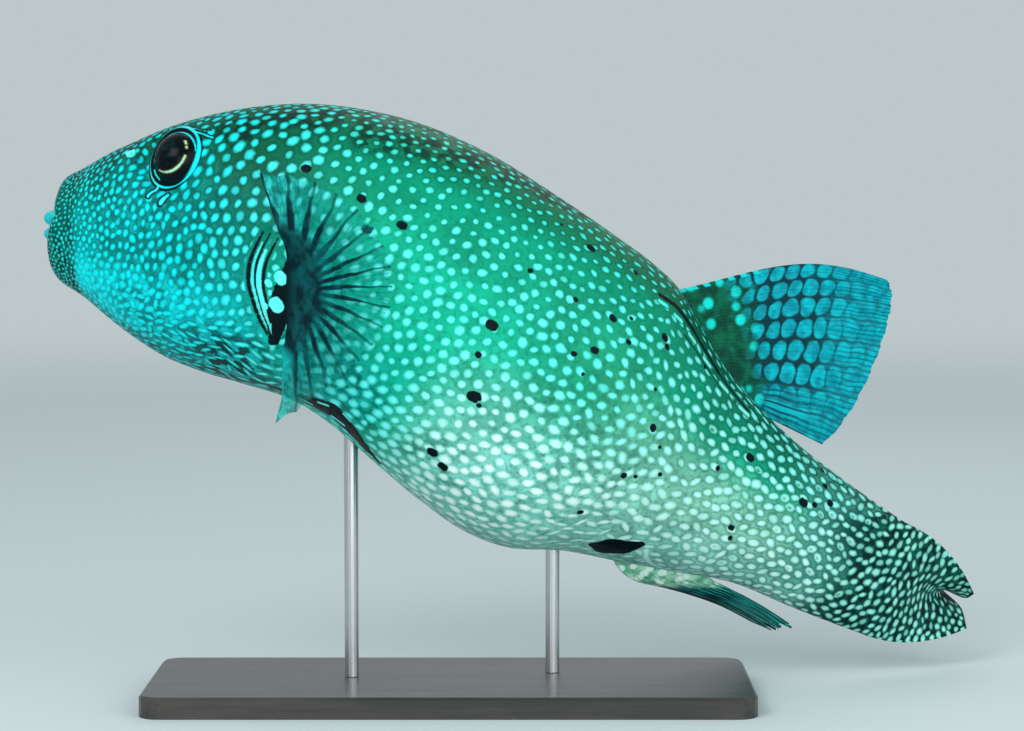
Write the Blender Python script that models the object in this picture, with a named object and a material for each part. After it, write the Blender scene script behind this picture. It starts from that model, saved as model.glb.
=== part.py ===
"""Spotted pufferfish, a still life-size display model on a plain stand.

Units are metres, +Z is up, the head points to -X and the fish's left side faces -Y.
The origin is the centre of the stand base's underside.

The body is one lofted form along a bent spine, parted by thin cuts into head, trunk and tail.
Lips, beak plates, eyes, nostril flaps and fins are separate solids that meet it with a thin gap.
"""

import bmesh
import bpy
import numpy as np
from mathutils import Matrix, Vector

# ---------------------------------------------------------------- driving dimensions
GAP = 0.0003  # kept between solids that meet
RING_POINTS = 36  # points round the body

# Spine: a cubic Bezier from the mouth to the root of the tail fin.
MOUTH = np.array([-0.229, 0.028, 0.267])
HEAD_PULL = np.array([0.033, -0.012, 0.269])
TAIL_PULL = np.array([-0.021, -0.008, 0.185])
TAIL_ROOT = np.array([0.256, 0.078, 0.0595])

# Body sections: share of the spine, height above it, depth below it, half width, squareness on top.
BODY = np.array(
    [
        (0.022, 0.0345, 0.0365, 0.0275, 2.3),
        (0.050, 0.0425, 0.0520, 0.0375, 2.5),
        (0.100, 0.0585, 0.0705, 0.0495, 2.8),
        (0.150, 0.0705, 0.0780, 0.0600, 2.7),
        (0.200, 0.0790, 0.0805, 0.0680, 2.4),
        (0.300, 0.0875, 0.0820, 0.0760, 2.2),
        (0.400, 0.0900, 0.0865, 0.0800, 2.1),
        (0.500, 0.0900, 0.0920, 0.0820, 2.1),
        (0.600, 0.0910, 0.0955, 0.0800, 2.1),
        (0.660, 0.0910, 0.0950, 0.0760, 2.1),
        (0.700, 0.0885, 0.0900, 0.0690, 2.1),
        (0.750, 0.0775, 0.0745, 0.0570, 2.1),
        (0.800, 0.0650, 0.0635, 0.0455, 2.1),
        (0.850, 0.0555, 0.0525, 0.0360, 2.1),
        (0.900, 0.0472, 0.0420, 0.0275, 2.1),
        (0.950, 0.0402, 0.0400, 0.0185, 2.1),
        (1.000, 0.0330, 0.0380, 0.0080, 2.1),
    ]
)
BELLY_SQUARENESS = 2.15
HEAD_END = 0.225  # share of the spine where the gill opening parts head from trunk
TRUNK_END = 0.680  # just ahead of the back fin
HEAD_RINGS, TRUNK_RINGS, TAIL_RINGS = 15, 15, 14
HEAD_CROWDING = 1.5  # the head's rings crowd towards the snout by this power
CUTTER_OVERLAP = 0.03  # share of the spine that a cutter runs past its length

# Eyes: a globe in a low turret on each upper side of the head.
EYE_RADIUS = 0.0122
EYE_SHARE = 0.116  # along the spine
EYE_UP = 0.0435
EYE_OUT = 0.0440
EYE_FACING = (0.80, 0.34, 0.49)  # outwards, upwards and forwards
TURRET_SLOPE = 0.50  # fall of the turret's side away from the globe
TURRET_REACH = (0.016, 0.027)  # the turret's side is whole within the first, gone by the second

# Mouth, measured from the front of the head: +Z up, depth forward.
MOUTH_LEVEL = 0.0065
UPPER_LIP = dict(half_width=0.0185, rise=0.0150, half_band=0.0105, corner_band=0.0065, bulge=0.0112)
LOWER_LIP = dict(half_width=0.0185, rise=-0.0240, half_band=0.0145, corner_band=0.0065, bulge=0.0160)
LIP_CORNER_BULGE = 0.62  # share of the bulge that is left at the corners
CORNER_ANGLE = 0.14  # radians that each lip stops short of the corner of the mouth
LIP_STEPS, LIP_SECTION = 13, 7
BEAK_HALF_WIDTH = 0.0105
BEAK_REACH = 0.0195
BEAK_EDGE = 0.94  # share of that size at the cutting edges
UPPER_BEAK = (0.0034, -0.0006)  # top and cutting edge, from mouth level
LOWER_BEAK = (-0.0082, -0.0012)  # foot and cutting edge

# Nostril flaps: rings from the foot to the forked tip, as share of the height and of the radius.
NOSTRIL_SHARE, NOSTRIL_UP, NOSTRIL_RADIUS, NOSTRIL_HEIGHT = 0.081, 0.0400, 0.0021, 0.0050
NOSTRIL_RINGS = ((-0.5, 0.9), (0.35, 1.0), (0.75, 1.25), (1.0, 0.75))
NOSTRIL_LEAN = (0.75, 0.60, 0.25)  # outwards, upwards and forwards
NOSTRIL_OVAL = 1.3

# Fins. A share k runs from a fin's first ray (0) to its last (1).
FIN_EDGE = 0.0009  # thickness at the tips
ROOT_SUNK = 0.008  # how deep a fin's root runs into the body before it is trimmed
FLESHY_REACH = 0.42  # share of a ray's length over which its flesh thins out
DORSAL_ROOT = (0.694, 0.828)
DORSAL_LENGTHS = (0.137, 0.062)
DORSAL_LIFT = 0.57  # radians that the first ray rises above the line of the spine
DORSAL_LEVEL = 0.734  # share of the spine whose direction the rays are measured from
DORSAL_BOW = 0.012
DORSAL_THICK = 0.012
ANAL_ROOT = (0.795, 0.868)
ANAL_LENGTHS = (0.128, 0.073)
ANAL_LIFTS = (0.120, 0.060)
ANAL_SWING = 0.034  # how far the first ray's tip swings to the right
ANAL_SAG = 0.046
ANAL_THICK = 0.013
# Tail fin tips: share k, then distance back, up and away to the right from the end of the spine.
CAUDAL_TIPS = (
    (0.00, 0.0660, 0.0105, 0.012),
    (0.25, 0.0680, 0.0065, 0.026),
    (0.50, 0.0600, 0.0068, 0.041),
    (0.75, 0.0690, 0.0005, 0.028),
    (1.00, 0.0690, -0.0105, 0.010),
)
CAUDAL_PULL = 0.035  # how far back the rays run before they bend away
CAUDAL_START = 0.002  # the root lies this far inside the tail before it is trimmed
CAUDAL_INSET = 0.0015  # its first and last ray lie this far inside the tail's outline
CAUDAL_FLESH = 0.6
PECTORAL_SHARE = 0.268
PECTORAL_CENTRE = (0.0055, -0.0159)  # back and up from the spine at that share
PECTORAL_ROOT = ((-0.0125, 0.0101), (0.0030, -0.0505))
PECTORAL_TURN = (2.08, -1.48)  # radians from straight back, first ray and last
PECTORAL_REACH = (0.052, 0.013, 0.011)  # middle ray, more at the ends, more again on the lowest
PECTORAL_MIDDLE = 0.35  # turn of the shortest ray, in radians
PECTORAL_LOBE = 0.30  # share of each ray that is the fleshy lobe
PECTORAL_RIM = (0.27, 0.29)  # reach of the lobe's rim on the middle ray, and more at the ends
PECTORAL_RISE = (-0.012, 0.024)  # from the sunk root out to the lobe's rim
PECTORAL_FLARE = (-0.007, 0.027)  # from there to the tips: the end rays, and more in the middle
PECTORAL_THICK = 0.011

# Stand
BASE_SIZE = (0.340, 0.130, 0.012)
BASE_CORNER = 0.012
BASE_CHAMFER = 0.0015
ROD_RADIUS = 0.004
FRONT_ROD_X, REAR_ROD_X = -0.056, 0.058
ROD_SUNK = 0.012  # how deep a rod runs into the body before it is trimmed

MATERIALS = {
    # name: base colour, roughness, metallic
    "skin_head": ((0.05, 0.34, 0.25), 0.45, 0.0),
    "skin_trunk": ((0.12, 0.40, 0.30), 0.45, 0.0),
    "skin_tail": ((0.24, 0.40, 0.31), 0.45, 0.0),
    "lip_skin": ((0.03, 0.15, 0.13), 0.45, 0.0),
    "beak": ((0.80, 0.82, 0.72), 0.30, 0.0),
    "eye": ((0.01, 0.02, 0.02), 0.05, 0.0),
    "fin": ((0.04, 0.20, 0.18), 0.50, 0.0),
    "nostril_flap": ((0.35, 0.55, 0.48), 0.50, 0.0),
    "stand_wood": ((0.03, 0.025, 0.02), 0.35, 0.0),
    "stand_steel": ((0.55, 0.56, 0.57), 0.28, 1.0),
}


# ---------------------------------------------------------------- helpers
def clear_scene():
    for item in list(bpy.data.objects):
        bpy.data.objects.remove(item, do_unlink=True)


def material(name):
    found = bpy.data.materials.get(name)
    if found:
        return found
    colour, roughness, metallic = MATERIALS[name]
    made = bpy.data.materials.new(name)
    made.use_nodes = True
    shader = made.node_tree.nodes["Principled BSDF"]
    shader.inputs["Base Color"].default_value = (*colour, 1.0)
    shader.inputs["Roughness"].default_value = roughness
    shader.inputs["Metallic"].default_value = metallic
    made.diffuse_color = (*colour, 1.0)
    return made


def add_object(name, mesh, finish):
    mesh.materials.append(material(finish))
    mesh.shade_smooth()
    mesh.set_sharp_from_angle(angle=0.9)
    item = bpy.data.objects.new(name, mesh)
    bpy.context.scene.collection.objects.link(item)
    return item


def mesh_from(name, points, faces):
    mesh = bpy.data.meshes.new(name)
    mesh.from_pydata([tuple(p) for p in points], [], faces)
    work = bmesh.new()
    work.from_mesh(mesh)
    bmesh.ops.recalc_face_normals(work, faces=work.faces)
    work.to_mesh(mesh)
    work.free()
    return mesh


def cut(item, cutter):
    """Takes the cutter's shape out of the item."""
    cutter.hide_render = True
    cutter.display_type = "WIRE"
    boolean = item.modifiers.new("cut_" + cutter.name, "BOOLEAN")
    boolean.operation = "DIFFERENCE"
    boolean.solver = "EXACT"
    boolean.object = cutter


def unit(vectors):
    return vectors / np.linalg.norm(vectors, axis=-1, keepdims=True)


def eased(x, xs, ys):
    """A smooth curve through the points (xs, ys): cubic Hermite pieces with averaged slopes."""
    slopes = np.gradient(ys, xs)
    i = np.clip(np.searchsorted(xs, x) - 1, 0, len(xs) - 2)
    span = xs[i + 1] - xs[i]
    t = (x - xs[i]) / span
    return (
        ys[i] * (1 + 2 * t) * (1 - t) ** 2
        + slopes[i] * span * t * (1 - t) ** 2
        + ys[i + 1] * t**2 * (3 - 2 * t)
        + slopes[i + 1] * span * t**2 * (t - 1)
    )


# ---------------------------------------------------------------- body form
def spine(u):
    """Point, direction to the tail, up and left at a share u of the spine."""
    u = np.asarray(u, float)[..., None]
    v = 1 - u
    point = v**3 * MOUTH + 3 * v**2 * u * HEAD_PULL + 3 * v * u**2 * TAIL_PULL + u**3 * TAIL_ROOT
    back = unit(
        v**2 * (HEAD_PULL - MOUTH) + 2 * v * u * (TAIL_PULL - HEAD_PULL) + u**2 * (TAIL_ROOT - TAIL_PULL)
    )
    up = np.array([0.0, 0.0, 1.0])
    up = unit(up - back * back[..., 2:3])
    left = np.cross(back, up)
    return point, back, up, left


def section(u):
    """Height, depth, half width and top squareness at a share u of the spine."""
    return [eased(u, BODY[:, 0], BODY[:, column]) for column in range(1, 5)]


def eye_axes(side):
    """Centre and outward direction of an eye; side is 1 for left and -1 for right."""
    point, back, up, left = spine(EYE_SHARE)
    centre = point + up * EYE_UP + left * EYE_OUT * side
    out, upward, forward = EYE_FACING
    outward = unit(left * side * out + up * upward - back * forward)
    return centre, outward


def turret(points, side):
    """Shapes the skin round an eye into a low cone about the eye's axis."""
    centre, outward = eye_axes(side)
    offset = points - centre
    along = offset @ outward
    across = np.linalg.norm(offset - along[..., None] * outward, axis=-1)
    wanted = -TURRET_SLOPE * np.maximum(across - EYE_RADIUS, 0)
    inner, outer = TURRET_REACH
    share = np.clip((outer - across) / (outer - inner), 0, 1)
    share = np.where(along > -outer, share**2 * (3 - 2 * share), 0)
    return points + outward * (share * (wanted - along))[..., None]


def body_points(u, angle, grow=0.0):
    """Skin points at spine shares u and angles round it, from the left side (0) over the back."""
    u, angle = np.broadcast_arrays(u, angle)
    height, depth, half, square = section(u)
    point, _, up, left = spine(u)
    cosine, sine = np.cos(angle), np.sin(angle)
    power = np.where(sine >= 0, 2 / square, 2 / BELLY_SQUARENESS)
    across = (half + grow) * np.sign(cosine) * np.abs(cosine) ** power
    upward = np.where(sine >= 0, height + grow, depth + grow) * np.sign(sine) * np.abs(sine) ** power
    placed = point + left * across[..., None] + up * upward[..., None]
    for side in (1, -1):
        placed = turret(placed, side)
    return placed


def body_length(name, start, end, rings, finish, grow=0.0, crowding=1.0):
    """One length of the body, closed by flat ends."""
    shares = start + (end - start) * np.linspace(0, 1, rings) ** crowding
    angles = np.arange(RING_POINTS) * 2 * np.pi / RING_POINTS
    points = body_points(shares[:, None], angles[None, :], grow).reshape(-1, 3)
    faces = []
    for ring in range(rings - 1):
        for k in range(RING_POINTS):
            a, b = ring * RING_POINTS + k, ring * RING_POINTS + (k + 1) % RING_POINTS
            faces.append((a, b, b + RING_POINTS, a + RING_POINTS))
    faces.append(tuple(range(RING_POINTS - 1, -1, -1)))
    faces.append(tuple(range((rings - 1) * RING_POINTS, rings * RING_POINTS)))
    return add_object(name, mesh_from(name, points, faces), finish)


def share_step(u):
    """The share of the spine that one gap takes at u."""
    ahead, behind = spine(u + 0.001)[0], spine(u)[0]
    return GAP * 1.4 * 0.001 / np.linalg.norm(ahead - behind)


def surface_out(u, upward):
    """How far the flank lies from the spine's middle plane, at a height above (or below) the spine."""
    height, depth, half, square = section(u)
    top = upward >= 0
    ratio = np.clip(np.where(top, upward / height, -upward / depth), 0, 0.93)
    power = np.where(top, square, BELLY_SQUARENESS)
    return half * (1 - ratio**power) ** (1 / power)


# ---------------------------------------------------------------- eyes, mouth, nostrils
def ball(name, centre, radius, finish, columns=20, rows=12):
    work = bmesh.new()
    bmesh.ops.create_uvsphere(
        work, u_segments=columns, v_segments=rows, radius=radius, matrix=Matrix.Translation(Vector(centre))
    )
    mesh = bpy.data.meshes.new(name)
    work.to_mesh(mesh)
    work.free()
    return add_object(name, mesh, finish)


def front_frame():
    """The flat front of the head: its middle at mouth level, and its forward, up and left directions."""
    start = BODY[0, 0]
    point, back, up, left = spine(start)
    return point + up * MOUTH_LEVEL, -back, up, left


def lip(name, half_width, rise, half_band, corner_band, bulge):
    """A lip: a D-shaped section swept along half an ellipse, flat at the back, thin at the corners."""
    middle, forward, up, left = front_frame()
    turn = np.linspace(CORNER_ANGLE, np.pi - CORNER_ANGLE, LIP_STEPS)
    fullness = np.sin(turn) ** 0.7
    band = corner_band + (half_band - corner_band) * fullness
    swell = bulge * (LIP_CORNER_BULGE + (1 - LIP_CORNER_BULGE) * fullness)
    around = np.linspace(0, np.pi, LIP_SECTION)
    line = left * (half_width * np.cos(turn))[:, None] + up * (rise * np.sin(turn))[:, None]
    outward = unit(
        left * (abs(rise) * np.cos(turn))[:, None]
        + up * (np.sign(rise) * half_width * np.sin(turn))[:, None]
    )
    points = (
        middle
        + line[:, None, :]
        + outward[:, None, :] * (band[:, None] * np.cos(around))[..., None]
        + forward * (GAP + swell[:, None] * np.sin(around) ** 0.8)[..., None]
    ).reshape(-1, 3)
    faces = []
    for step in range(LIP_STEPS - 1):
        for k in range(LIP_SECTION):
            a, b = step * LIP_SECTION + k, step * LIP_SECTION + (k + 1) % LIP_SECTION
            faces.append((a, b, b + LIP_SECTION, a + LIP_SECTION))
    faces.append(tuple(range(LIP_SECTION)))
    faces.append(tuple(range((LIP_STEPS - 1) * LIP_SECTION, LIP_STEPS * LIP_SECTION)))
    return add_object(name, mesh_from(name, points, faces), "lip_skin")


def beak_plate(name, root, edge, grow=0.0, taper=BEAK_EDGE):
    """A fused tooth plate: half an ellipse seen from above, narrowing towards its cutting edge."""
    middle, forward, up, left = front_frame()
    turn = np.linspace(0, np.pi, 11)
    apart = np.sign(root - edge) * grow
    rings = []
    for level, share in ((root + apart, 1.0), (edge - apart, taper)):
        sideways = left * ((BEAK_HALF_WIDTH * share + grow) * np.cos(turn))[:, None]
        onwards = forward * (GAP - grow + (BEAK_REACH * share + 2 * grow) * np.sin(turn))[:, None]
        rings.append(middle + sideways + onwards + up * level)
    count = len(turn)
    faces = [tuple(range(count)), tuple(range(count, 2 * count))]
    faces += [(k, (k + 1) % count, (k + 1) % count + count, k + count) for k in range(count)]
    return add_object(name, mesh_from(name, np.concatenate(rings), faces), "beak")


def nostril(name, side, head_cutter):
    """A short flap that stands on the skin in front of the eye."""
    point, back, up, left = spine(NOSTRIL_SHARE)
    out = surface_out(np.array(NOSTRIL_SHARE), np.array(NOSTRIL_UP))
    foot = point + up * NOSTRIL_UP + left * side * out
    outwards, upwards, forwards = NOSTRIL_LEAN
    lean = unit(left * side * outwards + up * upwards - back * forwards)
    across = unit(np.cross(lean, left))
    flat = unit(np.cross(lean, across))
    turn = np.arange(10) * 2 * np.pi / 10
    rings = [
        foot
        + lean * NOSTRIL_HEIGHT * level
        + across * (NOSTRIL_RADIUS * NOSTRIL_OVAL * width * np.cos(turn))[:, None]
        + flat * (NOSTRIL_RADIUS * width * np.sin(turn))[:, None]
        for level, width in NOSTRIL_RINGS
    ]
    count, last = len(turn), len(rings) - 1
    faces = [tuple(range(count)), tuple(range(last * count, (last + 1) * count))]
    for ring in range(last):
        for k in range(count):
            a, b = ring * count + k, ring * count + (k + 1) % count
            faces.append((a, b, b + count, a + count))
    cut(add_object(name, mesh_from(name, np.concatenate(rings), faces), "nostril_flap"), head_cutter)


# ---------------------------------------------------------------- fins
def blade(name, sheet, thickness, finish="fin"):
    """A closed fin: the sheet of points thickened both ways along its normals."""
    along, out = np.gradient(sheet, axis=0), np.gradient(sheet, axis=1)
    normal = unit(np.cross(along, out))
    rows, columns = sheet.shape[:2]
    half = (np.broadcast_to(thickness, (rows, columns)) / 2)[..., None]
    points = np.concatenate([(sheet + normal * half).reshape(-1, 3), (sheet - normal * half).reshape(-1, 3)])
    back = rows * columns
    faces = []
    for i in range(rows - 1):
        for j in range(columns - 1):
            a = i * columns + j
            quad = (a, a + 1, a + columns + 1, a + columns)
            faces += [quad, tuple(back + p for p in reversed(quad))]
    rim = [j for j in range(columns)]
    rim += [i * columns + columns - 1 for i in range(1, rows)]
    rim += [(rows - 1) * columns + j for j in range(columns - 2, -1, -1)]
    rim += [i * columns for i in range(rows - 2, 0, -1)]
    for a, b in zip(rim, rim[1:] + rim[:1]):
        faces.append((a, b, back + b, back + a))
    return add_object(name, mesh_from(name, points, faces), finish)


def rounded(k):
    """Full across the middle of a fin, low but not nothing at its first and last ray."""
    return np.sin(np.pi * (0.06 + 0.88 * k))


def fin_thickness(reach, thick):
    """Fleshy at the root, thin from a third of the way out."""
    return FIN_EDGE + (thick - FIN_EDGE) * np.clip(1 - reach / FLESHY_REACH, 0, 1) ** 1.6


def back_point(u, sunk):
    """A point on the middle of the back, sunk into it."""
    point, _, up, _ = spine(u)
    return point + up * (section(u)[0] - sunk)[..., None]


def belly_point(u, sunk):
    point, _, up, _ = spine(u)
    return point - up * (section(u)[1] - sunk)[..., None]


def between(start, end, share):
    """A grid of points from start to end, at each share of the way."""
    share = np.asarray(share)[:, None]
    return start[..., None, :] * (1 - share) + end[..., None, :] * share


def dorsal_fin(cutter):
    k = np.linspace(0, 1, 15)
    r = np.linspace(0, 1, 9)
    share = DORSAL_ROOT[0] + (DORSAL_ROOT[1] - DORSAL_ROOT[0]) * k
    _, back, up, _ = spine(DORSAL_LEVEL)
    lift = (DORSAL_LIFT * (1 - k**2.8))[:, None]
    length = (DORSAL_LENGTHS[0] + (DORSAL_LENGTHS[1] - DORSAL_LENGTHS[0]) * k**1.7)[:, None]
    tip = back_point(share, 0.0) + length * (back * np.cos(lift) + up * np.sin(lift))
    sheet = between(back_point(share, ROOT_SUNK), tip, r)
    rise = back * -np.sin(DORSAL_LIFT) + up * np.cos(DORSAL_LIFT)
    bow = DORSAL_BOW * np.outer((1 - k) ** 1.5, np.sin(np.pi * r**1.4))
    cut(blade("dorsal_fin", sheet + rise * bow[..., None], fin_thickness(r, DORSAL_THICK)), cutter)


def anal_fin(cutter):
    """Half closed and swept back under the tail, its first ray the lowest."""
    k = np.linspace(0, 1, 11)
    r = np.linspace(0, 1, 9)
    share = ANAL_ROOT[0] + (ANAL_ROOT[1] - ANAL_ROOT[0]) * k
    _, back, up, left = spine(ANAL_ROOT[0])
    lift = (ANAL_LIFTS[0] + (ANAL_LIFTS[1] - ANAL_LIFTS[0]) * k)[:, None]
    length = (ANAL_LENGTHS[0] + (ANAL_LENGTHS[1] - ANAL_LENGTHS[0]) * k)[:, None]
    ray = back * np.cos(lift) + up * np.sin(lift)
    tip = belly_point(share, 0.0) + length * ray - left * (ANAL_SWING * (1 - k))[:, None]
    sheet = between(belly_point(share, ROOT_SUNK), tip, r)
    sag = ANAL_SAG * np.outer(1 - 0.6 * k, np.sqrt(r) * (1 - r) ** 3)
    cut(blade("anal_fin", sheet - up * sag[..., None], fin_thickness(r, ANAL_THICK)), cutter)


def caudal_fin(cutter):
    """The tail fin, folded in a shallow V whose middle rays swing away to the right."""
    k = np.linspace(0, 1, 17)
    r = np.linspace(0, 1, 10)
    point, back, up, left = spine(1.0)
    height, depth, half, _ = section(np.array(1.0))
    top, bottom = point + up * (height - CAUDAL_INSET), point - up * (depth - CAUDAL_INSET)
    root = between(top, bottom, k) - back * CAUDAL_START
    keys = np.array(CAUDAL_TIPS)
    ends = [eased(k, keys[:, 0], keys[:, column])[:, None] for column in (1, 2, 3)]
    tip = point + back * ends[0] + up * ends[1] - left * ends[2]
    pull = root + back * CAUDAL_PULL
    r = r[None, :, None]
    sheet = root[:, None] * (1 - r) ** 2 + pull[:, None] * 2 * r * (1 - r) + tip[:, None] * r**2
    flesh = (2 * half * 0.95 - FIN_EDGE) * np.clip(1 - r[..., 0] / CAUDAL_FLESH, 0, 1) ** 1.5
    rounding = rounded(k)[:, None] ** 0.6
    cut(blade("caudal_fin", sheet, FIN_EDGE + flesh * rounding), cutter)


def pectoral_fin(name, side, cutter, spread):
    """A broad fan: a fleshy lobe leaves the flank, and the rays radiate from its rim."""
    k = np.linspace(0, 1, 19)[:, None]
    r = np.linspace(0, 1, 11)[None, :]
    turn = PECTORAL_TURN[0] * spread + (PECTORAL_TURN[1] - PECTORAL_TURN[0]) * spread * k
    middle, more, lowest = PECTORAL_REACH
    widest = PECTORAL_TURN[0] - PECTORAL_MIDDLE
    reach = middle + more * ((turn - PECTORAL_MIDDLE) / widest) ** 2
    reach = reach + lowest * spread * np.clip((k - 0.86) / 0.14, 0, 1)
    rim = PECTORAL_RIM[0] + PECTORAL_RIM[1] * (2 * k - 1) ** 2
    lobe = np.clip(r / PECTORAL_LOBE, 0, 1)
    ray = np.clip((r - PECTORAL_LOBE) / (1 - PECTORAL_LOBE), 0, 1)
    radius = reach * (rim + (1 - rim) * ray)
    (top_back, top_up), (low_back, low_up) = PECTORAL_ROOT
    backward = (top_back + (low_back - top_back) * k) * (1 - lobe)
    backward = backward + (PECTORAL_CENTRE[0] + radius * np.cos(turn)) * lobe
    upward = (top_up + (low_up - top_up) * k) * (1 - lobe)
    upward = upward + (PECTORAL_CENTRE[1] + radius * np.sin(turn)) * lobe
    facing = np.clip(np.cos((turn - PECTORAL_MIDDLE) / 1.25), 0, 1)
    out = PECTORAL_RISE[0] + PECTORAL_RISE[1] * lobe**0.8
    out = out + (PECTORAL_FLARE[0] + PECTORAL_FLARE[1] * facing) * ray
    length = np.linalg.norm(spine(0.3)[0] - spine(0.2)[0]) / 0.1
    share = PECTORAL_SHARE + backward / length
    point, _, up, left = spine(share)
    lateral = surface_out(share, upward) + out
    sheet = point + up * upward[..., None] + left * side * lateral[..., None]
    thick = FIN_EDGE + (PECTORAL_THICK - FIN_EDGE) * rounded(k) ** 0.8
    cut(blade(name, sheet, fin_thickness(r, thick)), cutter)


# ---------------------------------------------------------------- stand
def stand_base():
    work = bmesh.new()
    bmesh.ops.create_cube(work, size=1.0)
    bmesh.ops.scale(work, vec=BASE_SIZE, verts=work.verts)
    bmesh.ops.translate(work, vec=(0, 0, BASE_SIZE[2] / 2), verts=work.verts)
    upright = [e for e in work.edges if abs(e.verts[0].co.z - e.verts[1].co.z) > BASE_SIZE[2] / 2]
    bmesh.ops.bevel(work, geom=upright, offset=BASE_CORNER, segments=5, affect="EDGES", profile=0.5)
    rim = [e for e in work.edges if min(v.co.z for v in e.verts) > BASE_SIZE[2] - 1e-5]
    bmesh.ops.bevel(work, geom=rim, offset=BASE_CHAMFER, segments=1, affect="EDGES", profile=0.5)
    mesh = bpy.data.meshes.new("stand_base")
    work.to_mesh(mesh)
    work.free()
    return add_object("stand_base", mesh, "stand_wood")


def stand_rod(name, x, cutters):
    """An upright rod under the spine at x, trimmed to the body's underside."""
    shares = np.linspace(0.2, 0.9, 400)
    u = shares[np.argmin(np.abs(belly_point(shares, np.zeros_like(shares))[:, 0] - x))]
    under = belly_point(np.array([u]), np.zeros(1))[0]
    low, high = BASE_SIZE[2] + GAP, under[2] + ROD_SUNK
    work = bmesh.new()
    bmesh.ops.create_cone(
        work,
        cap_ends=True,
        segments=16,
        radius1=ROD_RADIUS,
        radius2=ROD_RADIUS,
        depth=high - low,
        matrix=Matrix.Translation((x, under[1], (high + low) / 2)),
    )
    mesh = bpy.data.meshes.new(name)
    work.to_mesh(mesh)
    work.free()
    item = add_object(name, mesh, "stand_steel")
    for cutter in cutters:
        cut(item, cutter)


# ---------------------------------------------------------------- assembly
def build():
    clear_scene()
    start = BODY[0, 0]
    head = body_length("head", start, HEAD_END, HEAD_RINGS, "skin_head", crowding=HEAD_CROWDING)
    body_length("trunk", HEAD_END + share_step(HEAD_END), TRUNK_END, TRUNK_RINGS, "skin_trunk")
    body_length("tail", TRUNK_END + share_step(TRUNK_END), 1.0, TAIL_RINGS, "skin_tail")

    head_cutter = body_length("cutter_head", start, HEAD_END, HEAD_RINGS, "skin_head", GAP, HEAD_CROWDING)
    ahead, behind = HEAD_END - CUTTER_OVERLAP, TRUNK_END + CUTTER_OVERLAP
    trunk_cutter = body_length("cutter_trunk", ahead, behind, TRUNK_RINGS + 4, "skin_trunk", GAP)
    ahead, behind = TRUNK_END - CUTTER_OVERLAP, 1.0 + share_step(1.0)
    tail_cutter = body_length("cutter_tail", ahead, behind, TAIL_RINGS + 3, "skin_tail", GAP)

    for side, word in ((1, "left"), (-1, "right")):
        centre, _ = eye_axes(side)
        ball(f"eye_{word}", centre, EYE_RADIUS, "eye")
        socket = ball(f"cutter_socket_{word}", centre, EYE_RADIUS + GAP, "eye")
        cut(head, socket)
        nostril(f"nostril_{word}", side, head_cutter)

    beak_plate("upper_beak", *UPPER_BEAK)
    beak_plate("lower_beak", *LOWER_BEAK)
    beak_room = beak_plate("cutter_beak", UPPER_BEAK[0], LOWER_BEAK[0], GAP, 1.0)
    cut(lip("upper_lip", **UPPER_LIP), beak_room)
    cut(lip("lower_lip", **LOWER_LIP), beak_room)

    dorsal_fin(tail_cutter)
    anal_fin(tail_cutter)
    caudal_fin(tail_cutter)
    pectoral_fin("pectoral_fin_left", 1, trunk_cutter, 1.0)
    pectoral_fin("pectoral_fin_right", -1, trunk_cutter, 0.8)

    stand_base()
    stand_rod("stand_rod_front", FRONT_ROD_X, (trunk_cutter,))
    stand_rod("stand_rod_rear", REAR_ROD_X, (trunk_cutter, tail_cutter))


build()
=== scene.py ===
"""Looks of the spotted pufferfish display model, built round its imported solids.

Units are metres, +Z is up, the head points to -X and the fish's left side faces -Y.
The sections follow the model as it is put together: skin, eyes, beak, nostril flaps, fins, stand, studio.
"""

import bpy
import numpy as np
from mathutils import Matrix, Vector


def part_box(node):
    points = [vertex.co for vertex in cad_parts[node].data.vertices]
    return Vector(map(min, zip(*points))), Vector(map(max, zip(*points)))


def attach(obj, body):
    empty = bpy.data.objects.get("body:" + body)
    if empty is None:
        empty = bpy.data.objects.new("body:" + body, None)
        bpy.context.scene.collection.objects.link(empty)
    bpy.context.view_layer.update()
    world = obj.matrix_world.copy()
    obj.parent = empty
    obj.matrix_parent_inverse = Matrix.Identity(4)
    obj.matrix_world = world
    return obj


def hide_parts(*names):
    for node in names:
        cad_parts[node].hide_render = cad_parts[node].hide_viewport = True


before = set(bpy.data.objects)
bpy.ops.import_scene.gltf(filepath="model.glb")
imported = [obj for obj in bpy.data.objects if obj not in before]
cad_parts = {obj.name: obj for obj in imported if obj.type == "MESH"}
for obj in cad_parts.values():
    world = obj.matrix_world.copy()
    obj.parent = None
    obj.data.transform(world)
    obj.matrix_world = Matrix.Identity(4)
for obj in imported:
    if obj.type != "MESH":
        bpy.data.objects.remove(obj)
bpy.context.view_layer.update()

# ======================================================================== skin
# The whole body is covered by one skin, from the inside of the lips to the tips of the tail fin: a cast
# skin of resin, painted sea green with pale aqua spots and black blotches, and finished in satin lacquer.
# It is a tube of rings along a bent spine; the lips, the eye sockets and the gill slits are pressed into it.

MOUTH = np.array([-0.229, 0.028, 0.267])
HEAD_PULL = np.array([0.033, -0.012, 0.269])
TAIL_PULL = np.array([-0.021, -0.008, 0.185])
TAIL_ROOT = np.array([0.256, 0.078, 0.0595])
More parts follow.
